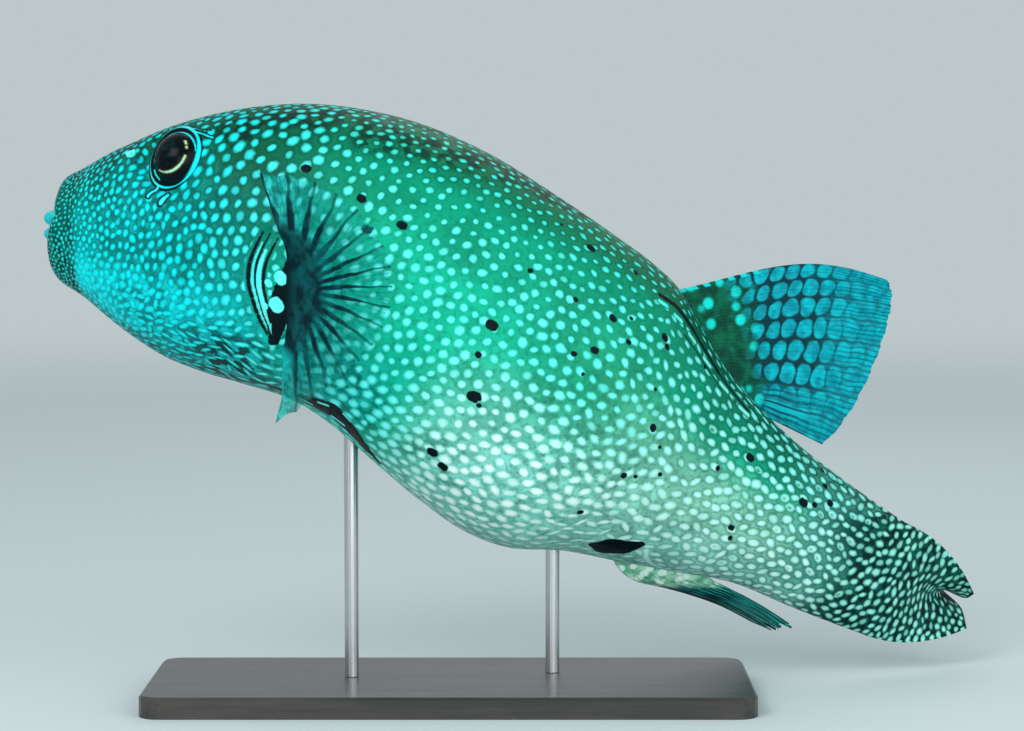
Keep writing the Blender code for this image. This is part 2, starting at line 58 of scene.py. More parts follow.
# share of the spine, height above it, depth below it, half width, squareness of the top
BODY = np.array(
    [
        (0.022, 0.0345, 0.0365, 0.0275, 2.3),
        (0.050, 0.0425, 0.0520, 0.0375, 2.5),
        (0.100, 0.0585, 0.0705, 0.0495, 2.8),
        (0.150, 0.0705, 0.0780, 0.0600, 2.7),
        (0.200, 0.0790, 0.0805, 0.0680, 2.4),
        (0.300, 0.0875, 0.0820, 0.0760, 2.2),
        (0.400, 0.0900, 0.0865, 0.0800, 2.1),
        (0.500, 0.0900, 0.0920, 0.0820, 2.1),
        (0.600, 0.0910, 0.0955, 0.0800, 2.1),
        (0.660, 0.0910, 0.0950, 0.0760, 2.1),
        (0.700, 0.0885, 0.0900, 0.0690, 2.1),
        (0.750, 0.0775, 0.0745, 0.0570, 2.1),
        (0.800, 0.0650, 0.0635, 0.0455, 2.1),
        (0.850, 0.0555, 0.0525, 0.0360, 2.1),
        (0.900, 0.0472, 0.0420, 0.0275, 2.1),
        (0.950, 0.0402, 0.0400, 0.0185, 2.1),
        (1.000, 0.0330, 0.0380, 0.0080, 2.1),
    ]
)
BELLY_SQUARENESS = 2.15
FRONT = BODY[0, 0]  # share of the spine where the lips meet the cheeks

AROUND = 288  # points round each ring
LIP_ROWS, BODY_ROWS, TAIL_FIN_ROWS = 31, 254, 60

MOUTH_LEVEL = 0.0065  # above the spine
MOUTH_HALF_WIDTH = 0.0150
MOUTH_TOP, MOUTH_FOOT = 0.0038, 0.0080  # open lips, above and below mouth level
UPPER_BULGE, LOWER_BULGE, CORNER_BULGE = 0.0105, 0.0153, 0.0068

EYE_SHARE = 0.116
EYE_FACING = (0.80, 0.34, 0.49)  # outwards, upwards and forwards
TURRET_SLOPE = 0.50  # fall of the low cone round each eye
TURRET_REACH = (0.016, 0.027)  # from the eye's axis: where the cone begins to fade and where it ends
LENS_REACH = 0.042  # from the eye's axis: where the rings and points are drawn together

FIN_EDGE = 0.0009
# the tail fin's edge: share of the way down it, then its place behind, above and right of the last ring
CAUDAL_TIPS = np.array(
    (
        (0.00, 0.0660, 0.0105, 0.012),
        (0.25, 0.0680, 0.0065, 0.026),
        (0.50, 0.0600, 0.0068, 0.041),
        (0.75, 0.0690, 0.0005, 0.028),
        (1.00, 0.0690, -0.0105, 0.010),
    )
)
CAUDAL_PULL = 0.035
CAUDAL_FLESH = 0.6  # share of the tail fin's length over which it thins


def unit(vectors):
    return vectors / np.linalg.norm(vectors, axis=-1, keepdims=True)


def smooth(x, low, high):
    """Smoothstep: 0 below low, 1 above high, 3t^2 - 2t^3 between."""
    t = np.clip((x - low) / (high - low), 0, 1)
    return t * t * (3 - 2 * t)


def bump(x, middle, reach):
    """A round hump: exp(-((x - middle) / reach)^2)."""
    return np.exp(-(((x - middle) / reach) ** 2))


def eased(x, xs, ys):
    """A smooth curve through the points (xs, ys): cubic Hermite pieces with averaged slopes."""
    slopes = np.gradient(ys, xs)
    i = np.clip(np.searchsorted(xs, x) - 1, 0, len(xs) - 2)
    span = xs[i + 1] - xs[i]
    t = (x - xs[i]) / span
    return (
        ys[i] * (1 + 2 * t) * (1 - t) ** 2
        + slopes[i] * span * t * (1 - t) ** 2
        + ys[i + 1] * t**2 * (3 - 2 * t)
        + slopes[i + 1] * span * t**2 * (t - 1)
    )


def spine(u):
    """Point, direction to the tail, up and left at a share u of the spine, a cubic Bezier curve."""
    u = np.asarray(u, float)[..., None]
    v = 1 - u
    point = v**3 * MOUTH + 3 * v**2 * u * HEAD_PULL + 3 * v * u**2 * TAIL_PULL + u**3 * TAIL_ROOT
    back = unit(
        v**2 * (HEAD_PULL - MOUTH) + 2 * v * u * (TAIL_PULL - HEAD_PULL) + u**2 * (TAIL_ROOT - TAIL_PULL)
    )
    up = np.array([0.0, 0.0, 1.0])
    up = unit(up - back * back[..., 2:3])
    return point, back, up, np.cross(back, up)


def section(u):
    """Height, depth, half width and top squareness at a share u of the spine."""
    return [eased(u, BODY[:, 0], BODY[:, column]) for column in range(1, 5)]


def eye_axes(side):
    """Centre of an eye, from its solid, and its outward direction; side is 1 for left and -1 for right."""
    low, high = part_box("eye_left" if side > 0 else "eye_right")
    _, back, up, left = spine(EYE_SHARE)
    outwards, upwards, forwards = EYE_FACING
    centre = (np.array(low) + np.array(high)) / 2
    return centre, unit(left * side * outwards + up * upwards - back * forwards), (high.x - low.x) / 2


def turret(points, side):
    """Shapes the skin round an eye into a low cone about the eye's axis."""
    centre, outward, radius = eye_axes(side)
    offset = points - centre
    along = offset @ outward
    across = np.linalg.norm(offset - along[..., None] * outward, axis=-1)
    wanted = -TURRET_SLOPE * np.maximum(across - radius, 0)
    inner, outer = TURRET_REACH
    share = np.clip((outer - across) / (outer - inner), 0, 1)
    share = np.where(along > -outer, share**2 * (3 - 2 * share), 0)
    return points + outward * (share * (wanted - along))[..., None]


def body_points(u, angle):
    """Superellipse sections round the spine; the angle runs from the left side (0) over the back."""
    u, angle = np.broadcast_arrays(u, angle)
    height, depth, half, square = section(u)
    point, _, up, left = spine(u)
    cosine, sine = np.cos(angle), np.sin(angle)
    power = np.where(sine >= 0, 2 / square, 2 / BELLY_SQUARENESS)
    across = half * np.sign(cosine) * np.abs(cosine) ** power
    upward = np.where(sine >= 0, height, depth) * np.sign(sine) * np.abs(sine) ** power
    return point + left * across[..., None] + up * upward[..., None]


def even_angles(u, share):
    """Angles that part each ring evenly by length: share 0 is the belly, 0.25 the left side, 0.5 the back."""
    half = np.linspace(-np.pi / 2, np.pi / 2, 241)
    rows = []
    for row in np.atleast_1d(u):
        line = body_points(row, half)
        steps = np.r_[0, np.cumsum(np.linalg.norm(np.diff(line, axis=0), axis=1))]
        mirrored = np.minimum(share, 1 - share) * 2
        angle = np.interp(mirrored, steps / steps[-1], half)
        rows.append(np.where(share <= 0.5, angle, np.pi - angle))
    return np.array(rows)


def row_shares():
    """Shares of the spine for the body's rings: closer together on the snout and round the eyes."""
    fine = np.linspace(FRONT, 1, 2000)
    density = 1 + 0.9 * np.exp(-(fine - FRONT) / 0.06) + 0.7 * bump(fine, EYE_SHARE, 0.035)
    density = density + 0.35 * smooth(fine, 0.85, 1.0)
    count = np.r_[0, np.cumsum((density[1:] + density[:-1]) / 2)]
    return np.interp(np.linspace(0, count[-1], BODY_ROWS), count, fine)


def lens(u, angle, side):
    """Draws rings and points together round an eye, where lids and rings of paint are fine."""
    centre, _, _ = eye_axes(side)
    point, _, up, left = spine(EYE_SHARE)
    height, _, half, square = section(EYE_SHARE)
    across, upward = (centre - point) @ left, (centre - point) @ up
    middle = np.arctan2((upward / height) ** (square / 2), (abs(across) / half) ** (square / 2))
    middle = middle if side > 0 else np.pi - middle
    step = 0.01
    stride = body_points(EYE_SHARE + step, middle) - body_points(EYE_SHARE - step, middle)
    swing = body_points(EYE_SHARE, middle + step) - body_points(EYE_SHARE, middle - step)
    length, girth = np.linalg.norm(stride) / 2 / step, np.linalg.norm(swing) / 2 / step
    far = np.hypot((u - EYE_SHARE) * length, (angle - middle) * girth)
    out = np.linspace(0, LENS_REACH, 400)
    density = 0.45 + 1.6 * bump(out, 0.0155, 0.0055) + 0.55 * smooth(out, 0.018, LENS_REACH)
    count = np.r_[0, np.cumsum(density[1:])]
    moved = np.interp(far, count / count[-1] * LENS_REACH, out)
    ratio = np.where(far < LENS_REACH, moved / np.maximum(far, 1e-9), 1.0)
    return EYE_SHARE + (u - EYE_SHARE) * ratio, middle + (angle - middle) * ratio


share = np.arange(AROUND) / AROUND
body_u = row_shares()
angles = even_angles(body_u, share)
grid_u = np.broadcast_to(body_u[:, None], angles.shape)
for side in (1, -1):
    grid_u, angles = lens(grid_u, angles, side)
body = body_points(grid_u, angles)
for side in (1, -1):
    body = turret(body, side)


def lip_rows():
    """The lips: rings from the cheek over a rounded crest into the mouth. Their way in is half a cosine wave,
    and their way forward the bulge times half a sine wave."""
    point, back, up, left = spine(FRONT)
    ring = body[0] - point
    across, upward = ring @ left, ring @ up - MOUTH_LEVEL
    turn = np.arctan2(upward / 0.030, across / 0.0275)
    fullness = np.abs(np.sin(turn)) ** 0.6
    bulge = np.where(turn > 0, UPPER_BULGE, LOWER_BULGE)
    bulge = CORNER_BULGE + (bulge - CORNER_BULGE) * fullness
    open_across = MOUTH_HALF_WIDTH * np.cos(turn)
    open_up = np.where(turn > 0, MOUTH_TOP, MOUTH_FOOT) * np.sin(turn)
    s = np.linspace(1, 0, LIP_ROWS)[:-1, None] ** 1.15
    crest = 0.80
    before = s < crest
    inward = np.where(before, (1 - np.cos(np.pi * s / crest)) / 2, 1 + 0.25 * (s - crest) / (1 - crest))
    wave = np.sin(np.pi * np.minimum(s / crest, 1)).clip(0) ** 0.75
    forward = np.where(before, wave, -1.3 * (s - crest) / (1 - crest))
    sideways = across + (open_across - across) * inward
    rise = upward + (open_up - upward) * inward
    return (
        point
        + up * (MOUTH_LEVEL + rise)[..., None]
        + left * sideways[..., None]
        - back * (bulge * forward)[..., None]
    )


def caudal_rows():
    """The tail fin: the last ring is drawn out along curved rays while its thickness falls to a thin edge."""
    point, back, up, left = spine(1.0)
    ring = body[-1] - point
    height, depth, half, _ = section(np.array(1.0))
    k = (height - ring @ up) / (height + depth)
    lateral = ring @ left / half
    ends = [eased(k, CAUDAL_TIPS[:, 0], CAUDAL_TIPS[:, column])[:, None] for column in (1, 2, 3)]
    tip = point + back * ends[0] + up * ends[1] - left * ends[2]
    root = point + up * (ring @ up)[:, None]
    pull = root + back * CAUDAL_PULL
    r = np.linspace(0, 1, TAIL_FIN_ROWS + 1)[1:, None, None]
    sheet = root * (1 - r) ** 2 + pull * 2 * r * (1 - r) + tip * r**2
    order = np.argsort(k, kind="stable")
    slope = np.empty_like(sheet)
    slope[:, order] = np.gradient(sheet[:, order], axis=1)
    run = 2 * (pull - root) * (1 - r) + 2 * (tip - pull) * r
    top_to_bottom = (sheet[:, np.argmax(k)] - sheet[:, np.argmin(k)])[:, None]
    normal = unit(np.cross(top_to_bottom + 0 * run, run))
    normal = normal * np.sign(normal @ left)[..., None]
    thick = FIN_EDGE / 2 + (half - FIN_EDGE / 2) * np.clip(1 - r / CAUDAL_FLESH, 0, 1) ** 1.5
    return sheet + normal * lateral[:, None] * thick


# distance from the eye's axis and rise of the skin, in mm: lid, fold, ridge and outer fold
EYE_RELIEF = np.array(
    (
        (0, -3.5),
        (10.5, -3.5),
        (12.5, -1.3),
        (13.4, 1.0),
        (14.1, 0.7),
        (15.6, -0.9),
        (18.2, 0.9),
        (20.6, -0.5),
        (24.0, 0),
    )
) / 1000
LID_SHIFT = (0.0022, -0.0010)  # how far behind and above the eye's axis its opening lies


def eye_opening(side):
    """The middle of the skin's opening over an eye, and the rearward, upward and outward directions there."""
    centre, outward, _ = eye_axes(side)
    up = spine(EYE_SHARE)[2]
    upright = unit(up - outward * (up @ outward))
    rearward = unit(np.cross(outward, upright)) * -side
    return centre + rearward * LID_SHIFT[0] + upright * LID_SHIFT[1], np.array([rearward, upright, outward])


def eye_relief(points, side):
    """Raises and sinks the skin round an eye along the eye's axis, by the curve through EYE_RELIEF."""
    centre, (_, _, outward) = eye_opening(side)
    offset = points - centre
    along = offset @ outward
    across = np.linalg.norm(offset - along[..., None] * outward, axis=-1)
    rise = np.where(across < EYE_RELIEF[-1, 0], eased(across, EYE_RELIEF[:, 0], EYE_RELIEF[:, 1]), 0)
    return points + outward * (rise * (along > -0.02))[..., None]


def outward_normals(points):
    """Normals of a grid of rings, from the cross product of the steps along it and round it."""
    along = np.gradient(points, axis=0)
    around = np.roll(points, -1, axis=1) - np.roll(points, 1, axis=1)
    return unit(np.cross(along, around) + 1e-12)


def near_line(points, line):
    """Distance to a line through points: the least of the distances to its short straight pieces."""
    best = np.full(points.shape[:-1], 1e9)
    for start, end in zip(line[:-1], line[1:]):
        run = end - start
        share = np.clip((points - start) @ run / (run @ run), 0, 1)
        best = np.minimum(best, np.linalg.norm(points - start - share[..., None] * run, axis=-1))
    return best


# the gill slit ahead of the pectoral fin, as shares of the spine and degrees above the left side
GILL_SLIT = np.array([(0.2275, 5), (0.2200, -3), (0.2215, -11), (0.2305, -18), (0.2415, -25), (0.2560, -32)])


def gill_line(side, first=0.0, last=1.0, behind=0.0):
    """Points along the gill slit, between two shares of its length, moved back by a share of the spine."""
    u, angle = GILL_SLIT[:, 0], np.radians(GILL_SLIT[:, 1])
    steps = np.arange(len(u))
    fine = np.linspace(first, last, 25) * steps[-1]
    u, angle = eased(fine, steps, u) + behind, eased(fine, steps, angle)
    return body_points(u, angle if side > 0 else np.pi - angle)


lips, caudal = lip_rows(), caudal_rows()
plain = np.concatenate([lips, body, caudal])  # the skin before any relief; the markings are measured on it
normals = outward_normals(body)
for side in (1, -1):
    body = eye_relief(body, side)
    # the gill slit is a groove between two low ridges
    far = near_line(body, gill_line(side))
    body = body - normals * (0.0030 * bump(far, 0, 0.0019) - 0.0012 * bump(far, 0.0045, 0.0018))[..., None]
skin_points = np.concatenate([lips, body, caudal])
rows = len(skin_points)

# the top of the back is let down by a tenth of a millimetre, to the height of the solid
skin_points[..., 2] -= 0.0001 * smooth(skin_points[..., 2], 0.325, 0.336)

# where each point of the skin is: station along the fish (the lips below FRONT, the tail fin above 1),
# rise in degrees from the belly (-90) over either side (0) to the back (90)
TAIL_FIN_STATION = 0.13
lip_share = np.linspace(0, 1, LIP_ROWS)[:-1, None]
fin_share = np.linspace(0, 1, TAIL_FIN_ROWS + 1)[1:, None]
station = np.concatenate(
    [
        FRONT * lip_share + np.zeros(AROUND),
        grid_u,
        1 + TAIL_FIN_STATION * fin_share + np.zeros(AROUND),
    ]
)
turned = np.concatenate(
    [np.repeat(angles[:1], LIP_ROWS - 1, 0), angles, np.repeat(angles[-1:], TAIL_FIN_ROWS, 0)]
)
is_left = share <= 0.5
rise = np.degrees(np.where(is_left, turned, np.pi - turned))

# a crease parts the lips from the cheeks
crease = bump(station, 0.0235, 0.0032)
skin_points = skin_points - outward_normals(skin_points) * (0.0012 * crease)[..., None]
# the lips run into the cheeks without a step
LIP_SMOOTHINGS = 36
soft = 0.5 * bump(station, 0.026, 0.018)[..., None]
for _ in range(LIP_SMOOTHINGS):
    middle = (np.roll(skin_points, 1, axis=0) + np.roll(skin_points, -1, axis=0)) / 2
    skin_points = skin_points + (middle - skin_points) * soft
# the upper lip slopes down to the mouth
droop = (1 - smooth(station, 0.014, 0.058)) * smooth(rise, 5, 55)
skin_points = skin_points + droop[..., None] * np.array([0.0012, 0.0, -0.0032])

# The painted markings: each is worked out at the points of the skin and drawn by its material.
# On the thin tail a fourth measure keeps the spots of the two sides apart.
apart = 0.010 * np.cos(turned) * smooth(station, 0.97, 1.02)
places = np.concatenate([plain, apart[..., None]], axis=-1)
along_skin = unit(np.gradient(plain, axis=0) + 1e-12)
up_skin = np.roll(plain, -1, axis=1) - np.roll(plain, 1, axis=1)
up_skin = unit(up_skin + 1e-12) * np.where(is_left, 1, -1)[:, None]

# station and distance between neighbouring spots, in mm
SPOT_SPACING = np.array(
    (
        (0, 2.5), (0.022, 2.7), (0.036, 3.7), (0.06, 4.4), (0.1, 5.1), (0.15, 5.9), (0.2, 6.7),
        (0.3, 7.1), (0.5, 7.0), (0.7, 7.5), (0.85, 7.3), (0.93, 6.4), (0.98, 5.7), (1.13, 5.4),
    )
)
# station and radius of a spot, as a share of that distance
SPOT_FULLNESS = np.array(
    (
        (0, 0.36), (0.05, 0.37), (0.15, 0.37), (0.3, 0.335), (0.6, 0.335),
        (0.75, 0.36), (0.92, 0.39), (1.0, 0.43), (1.13, 0.42),
    )
)
throat = bump(station, 0.20, 0.095) * smooth(-rise, 20, 44)
spacing = eased(station, SPOT_SPACING[:, 0], SPOT_SPACING[:, 1]) / 1000
spacing = spacing * (1 + 0.25 * bump(station, 0.2, 0.09) * bump(rise, 38, 24))
spacing = spacing * (1 + 0.10 * smooth(-rise, 40, 80) * (1 - smooth(station, 0.8, 0.95)))
fullness = eased(station, SPOT_FULLNESS[:, 0], SPOT_FULLNESS[:, 1]) + 0.04 * throat
# smaller on the back, larger on the belly
fullness = fullness - (
    0.075 * smooth(rise, 5, 50) * smooth(station, 0.22, 0.32) * (1 - smooth(station, 0.7, 0.85))
)
fullness = fullness + (
    0.075 * smooth(-rise, 10, 50) * smooth(station, 0.25, 0.4) * (1 - smooth(station, 0.75, 0.85))
)
# how much longer than wide a spot is, and how far its long way leans up from the line along the fish
stretch = 1.12 + 0.25 * bump(station, 0.11, 0.07) + 2.3 * throat + 0.45 * smooth(station, 0.5, 0.75)
stretch = stretch + 1.3 * bump(station, 0.745, 0.06) * smooth(-rise, 30, 48)
lean = np.radians(62 - 75 * throat - 58 * smooth(station, 0.3, 0.6) + 72 * smooth(station, 0.95, 1.03))

chance = np.random.default_rng(7)


def at(field, row, column):
    """A field of the grid read between its points, by bilinear weights."""
    i = np.minimum(row.astype(int), rows - 2)
    j = column.astype(int) % AROUND
    a, b = row - i, column - np.floor(column)
    if field.ndim == 3:
        a, b = a[:, None], b[:, None]
    here, beside = (field[i, one] * (1 - a) + field[i + 1, one] * a for one in (j, (j + 1) % AROUND))
    return here * (1 - b) + beside * b


def scatter(tries):
    """Spot centres: darts thrown over the skin, kept where no earlier one is nearer than the spacing."""
    weight = (cell_area / spacing**2).ravel()
    cell = chance.choice(weight.size, tries, p=weight / weight.sum())
    row, column = cell // AROUND + chance.random(tries), cell % AROUND + chance.random(tries)
    row = np.minimum(row, rows - 1.001)
    centre, apart_by = at(places, row, column), at(spacing, row, column) * 0.79
    kept = []
    taken = np.empty((tries, 4))
    for dart in range(tries):
        gap = taken[: len(kept)] - centre[dart]
        if not len(kept) or np.einsum("ij,ij->i", gap, gap).min() > apart_by[dart] ** 2:
            taken[len(kept)] = centre[dart]
            kept.append(dart)
    return row[kept], column[kept]


def nearest_spots(points, stations, spots, spot_stations, size, pull, grain, wanted=1):
    """For each point the spots nearest to it, counted in each spot's own radii. A spot is an ellipse: the
    distance is lengthened across its grain and shortened along it by the root of its pull."""
    which = np.empty((wanted,) + points.shape[:2], int)
    reach = 0.045
    for row in range(len(points)):
        low, high = stations[row].min() - reach, stations[row].max() + reach
        found = np.flatnonzero((spot_stations > low) & (spot_stations < high))
        gap = points[row][:, None] - spots[found]
        lengthwise = np.einsum("ijk,jk->ij", gap[..., :3], grain[found])
        squared = (gap**2).sum(axis=-1) * pull[found] - (pull[found] - 1 / pull[found]) * lengthwise**2
        squared = squared / size[found] ** 2
        for turn in range(wanted):
            best = np.argmin(squared, axis=1)
            which[turn, row] = found[best]
            squared[np.arange(len(best)), best] = np.inf
    return which


def evened(row, column, which, share_of_way):
    """Moves each spot towards the middle of the patch of skin that is nearest to it."""
    i, j = np.meshgrid(np.arange(rows), np.arange(AROUND), indexing="ij")
    owner = which.ravel()
    weight = cell_area.ravel()
    total = np.bincount(owner, weight, len(row))
    down = np.bincount(owner, weight * (i.ravel() - row[owner]), len(row)) / np.maximum(total, 1e-12)
    across = (j.ravel() - column[owner] + AROUND / 2) % AROUND - AROUND / 2
    across = np.bincount(owner, weight * across, len(row)) / np.maximum(total, 1e-12)
    row = np.clip(row + share_of_way * down, 0, rows - 1.001)
    return row, (column + share_of_way * across) % AROUND


step_on = np.linalg.norm(np.diff(plain, axis=0, append=plain[-1:]), axis=-1)
step_round = np.linalg.norm(np.roll(plain, -1, axis=1) - plain, axis=-1)
cell_area = step_on * step_round
SPOT_TRIES = 45000
spot_row, spot_column = scatter(SPOT_TRIES)
count = len(spot_row)
still = np.ones(count)
for _ in range(3):
    size = at(spacing, spot_row, spot_column)
    grain = at(along_skin, spot_row, spot_column)
    centres, stations = at(places, spot_row, spot_column), at(station, spot_row, spot_column)
    which = nearest_spots(places, station, centres, stations, size, still, grain)[0]
    spot_row, spot_column = evened(spot_row, spot_column, which, 0.9)
spots = at(places, spot_row, spot_column)
spot_station = at(station, spot_row, spot_column)
spot_spacing = at(spacing, spot_row, spot_column)
pull = np.maximum(at(stretch, spot_row, spot_column) * chance.uniform(0.88, 1.25, count), 1.0)
size = spot_spacing * at(fullness, spot_row, spot_column) * chance.uniform(0.74, 1.16, count)
nearest = np.array([np.sort(((spots - spots[one]) ** 2).sum(axis=1))[1] for one in range(count)]) ** 0.5
size = np.minimum(size, 0.47 * nearest / np.sqrt(pull) ** 0.8)
ring_chance = 0.11 * smooth(spot_station, 0.76, 0.88) * (1 - smooth(spot_station, 0.95, 1.0))
ringed = (chance.random(count) < ring_chance).astype(float)  # ringed spots have a dark middle
size = np.where(ringed > 0, np.maximum(size * 1.1, 0.40 * nearest), size)
faint = chance.uniform(0, 1, count) ** 3 * 0.45
tilt = at(lean, spot_row, spot_column) + chance.normal(0, 0.35, count)
grain = unit(
    at(along_skin, spot_row, spot_column) * np.cos(tilt)[:, None]
    + at(up_skin, spot_row, spot_column) * np.sin(tilt)[:, None]
)


def corners(field):
    """A field at the four corners of each quad between the rings, in the order of tube_faces."""
    following = np.roll(field, -1, axis=1)
    return np.stack([field[:-1], field[1:], following[1:], following[:-1]], axis=2)


# each quad keeps its two nearest spots, and at its corners the offset from each in that spot's radii
quad_places = corners(places)
quad_stations = corners(station).mean(axis=2)
quad_spots = nearest_spots(
    quad_places.mean(axis=2), quad_stations, spots, spot_station, size, pull, grain, wanted=2
)
spot_offsets = []
for which in quad_spots:
    gap = (quad_places - spots[which][:, :, None])[..., :3]
    lie = grain[which][:, :, None]
    root = np.sqrt(pull[which])[:, :, None, None]
    lengthwise = (gap * lie).sum(axis=-1, keepdims=True)
    offset = gap * root - lie * lengthwise * (root - 1 / root)
    spot_offsets.append(offset / size[which][:, :, None, None])

# patches and bare skin are held as distances in mm, negative inside them
black = np.full(plain.shape[:2], 50.0)
bare = np.full(plain.shape[:2], 50.0)  # skin without spots
# thin lines: pieces of dark and pale strokes as (start, end, half width in mm), the pale ones on top
strokes = {"dark": [], "pale": []}


def on_skin(trail, side):
    """Points of the plain skin at pairs of station and rise in degrees."""
    stations, rises = np.array(trail, float).T
    return body_points(stations, np.radians(rises if side > 0 else 180 - rises))


def patch(trail):
    """Distance to a fat trail on both sides of the body: capsules between points, each with its station,
    rise in degrees and half width in mm."""
    best = np.full(plain.shape[:2], 50.0)
    widths = [width for _, _, width in trail]
    for side in (1, -1):
        knots = on_skin([knot[:2] for knot in trail], side)
        for start, end, w0, w1 in zip(knots[:-1], knots[1:], widths[:-1], widths[1:]):
            run = end - start
            share_of_run = np.clip((plain - start) @ run / (run @ run), 0, 1)
            gap = np.linalg.norm(plain - start - share_of_run[..., None] * run, axis=-1) * 1000
            best = np.minimum(best, gap - (w0 + (w1 - w0) * share_of_run))
    return best


def stroke(kind, points, widths, clear=0.9):
    """Adds a painted line through points of the skin; spots keep clear of it by some mm."""
    widths = np.broadcast_to(widths, len(points))
    for start, end, w0, w1 in zip(points[:-1], points[1:], widths[:-1], widths[1:]):
        strokes[kind].append((start, end, (w0 + w1) / 2))
    np.minimum(bare, near_line(plain, points) * 1000 - widths.max() - clear, out=bare)


MM_PER_STATION = 620  # the length of the fish's middle line, near enough


def blotch(u, degrees, width, side):
    """A black blotch, a little longer than wide, turned at random."""
    turn, wide = chance.uniform(0, np.pi), width / MM_PER_STATION
    step_u, step_degrees = 0.35 * wide * np.cos(turn), 35 * wide * np.sin(turn)
    trail = [(u - step_u, degrees - step_degrees), (u + step_u, degrees + step_degrees)]
    stroke("dark", on_skin(trail, side), width * 0.92, clear=-0.4)


# the larger blotches of the left side: station, rise, half width
LEFT_BLOTCHES = (
    (0.536, -18, 3.6), (0.364, 22, 2.6), (0.314, 26, 2.6), (0.332, 16, 2.6), (0.250, 32, 2.6),
    (0.540, -46, 3.0), (0.562, -49, 2.8), (0.620, 28, 2.2), (0.690, 35, 2.4), (0.620, 14, 2.2),
    (0.730, 4, 2.4), (0.846, 24, 2.6), (0.910, 20, 2.6), (0.505, 4, 3.2), (0.560, 52, 2.6),
)
for u, degrees, width in LEFT_BLOTCHES:
    blotch(u, degrees, width, 1)
for _ in range(24):
    blotch(chance.uniform(0.22, 0.95), chance.uniform(-45, 50), chance.uniform(1.6, 3.4), -1)
for _ in range(26):
    blotch(chance.uniform(0.50, 0.95), chance.uniform(-40, 62), chance.uniform(1.0, 2.0), 1)

BLACK_PATCHES = (
    # under the breast
    [
        (0.262, -67, 1.6), (0.290, -67, 2.5), (0.335, -64, 6.0),
        (0.385, -60, 8.0), (0.430, -66, 6.5), (0.500, -77, 2.0),
    ],
    # ahead of the anal fin
    [(0.760, -61, 3.0), (0.774, -60, 9.0), (0.786, -57, 7.0), (0.796, -50, 3.0)],
    # between the gill slit and the pectoral fin
    [(0.266, 6, 2.0), (0.264, -4, 4.0), (0.263, -14, 6.0), (0.261, -25, 6.6), (0.264, -33, 3.5)],
)
for trail in BLACK_PATCHES:
    black = np.minimum(black, patch(trail))

# pale dashes in the patches and beside the anal fin, and painted shadows in the folds by the dorsal fin's
# root
PALE_DASHES = (
    ([(0.315, -67), (0.345, -66)], 0.8),
    ([(0.356, -60), (0.374, -58)], 0.9),
    ([(0.388, -65), (0.414, -66)], 0.9),
    ([(0.432, -72), (0.452, -74)], 0.8),
    ([(0.350, -73), (0.380, -75)], 0.8),
    ([(0.404, -57), (0.420, -59)], 0.7),
    ([(0.806, -54), (0.812, -62), (0.822, -70), (0.835, -77)], 1.3),
)
FOLD_SHADOWS = (
    ([(0.665, 52), (0.69, 54), (0.73, 54.5), (0.78, 54), (0.83, 53)], 2.1),
    ([(0.715, 45), (0.74, 46), (0.77, 46), (0.79, 45)], 0.6),
)
FOLD_DASHES = (0.672, 0.699, 0.728, 0.760, 0.792, 0.824)
# two pale stripes between three dark lines at the gill slit: place behind it as a share of the spine,
# half width in mm, and the shares of the slit's length where each starts and ends
GILL_STROKES = (
    ("dark", -0.0038, 1.00, 0.00, 1.00),
    ("pale", 0.0000, 0.95, 0.08, 0.92),
    ("dark", 0.0046, 1.40, 0.00, 0.98),
    ("pale", 0.0102, 1.60, 0.12, 0.85),
    ("dark", 0.0156, 1.10, 0.02, 0.90),
)
# large pale spots between the slit and the fin: station, rise, half width
GILL_SPOTS = ((0.2560, -7, 3.4), (0.2585, -17.5, 4.0), (0.2430, -10, 1.8), (0.2440, -19, 1.8))
for side in (1, -1):
    for trail, width in PALE_DASHES:
        stroke("pale", on_skin(trail, side), width)
    # dark lines painted as the shadows in the folds
    for trail, width in FOLD_SHADOWS:
        stroke("dark", on_skin(trail, side), width * np.sin(np.linspace(0.7, 2.85, len(trail))))
    for u in FOLD_DASHES:
        stroke("pale", on_skin([(u - 0.006, 48.6), (u + 0.006, 49.4)], side), 1.3)
    for kind, behind, width, first, last in GILL_STROKES:
        stroke(kind, gill_line(side, first, last, behind), width * np.sin(np.linspace(0.25, 2.9, 25)) ** 0.6)
    for u, degrees, width in GILL_SPOTS:
        stroke("pale", on_skin([(u - 0.001, degrees), (u + 0.001, degrees - 0.5)], side), width)
    stroke("pale", on_skin([(0.2560, -26), (0.2580, -31)], side), 0.8)

# round each eye, in mm rearwards and upwards of its axis: a pale line on the lid, a pale ring and its spurs
LID_RADIUS = 14.1
EYE_RING = (0.6, -0.9, 17.0, 18.0)  # middle and half sizes
EYE_RING_RADIUS = 17.5  # the mean of its half sizes
EYE_SPURS = (
    ([(-4.0, -19.0), (-7.0, -25.5)], 0.9),
    ([(9.0, 15.5), (15.0, 15.8), (21.0, 15.0)], 0.5),
    ([(6.5, 17.5), (15.0, 19.5)], 0.4),
    ([(4.8, -23.5), (2.4, -28.0)], 1.3),
    ([(-10.8, -9.6), (-8.4, -12.2), (-5.2, -14.2)], 0.75),
)
eye_at = np.full(plain.shape, 99.0)  # where the skin lies, in mm rearwards, upwards and outwards of that axis
for side in (1, -1):
    opening, axes = eye_opening(side)
    axis_point = opening - np.array(LID_SHIFT) @ axes[:2]
    offset = (plain - axis_point) * 1000
    seen = (offset @ axes[2] > -24) & (np.linalg.norm(offset, axis=-1) < 48)
    eye_at = np.where(seen[..., None], offset @ axes.T, eye_at)
    for trail, width in EYE_SPURS:
        points = axis_point + np.array(trail) / 1000 @ axes[:2] - axes[2] * 0.002
        stroke("dark", points, width + 1.1)
        stroke("pale", points, width)
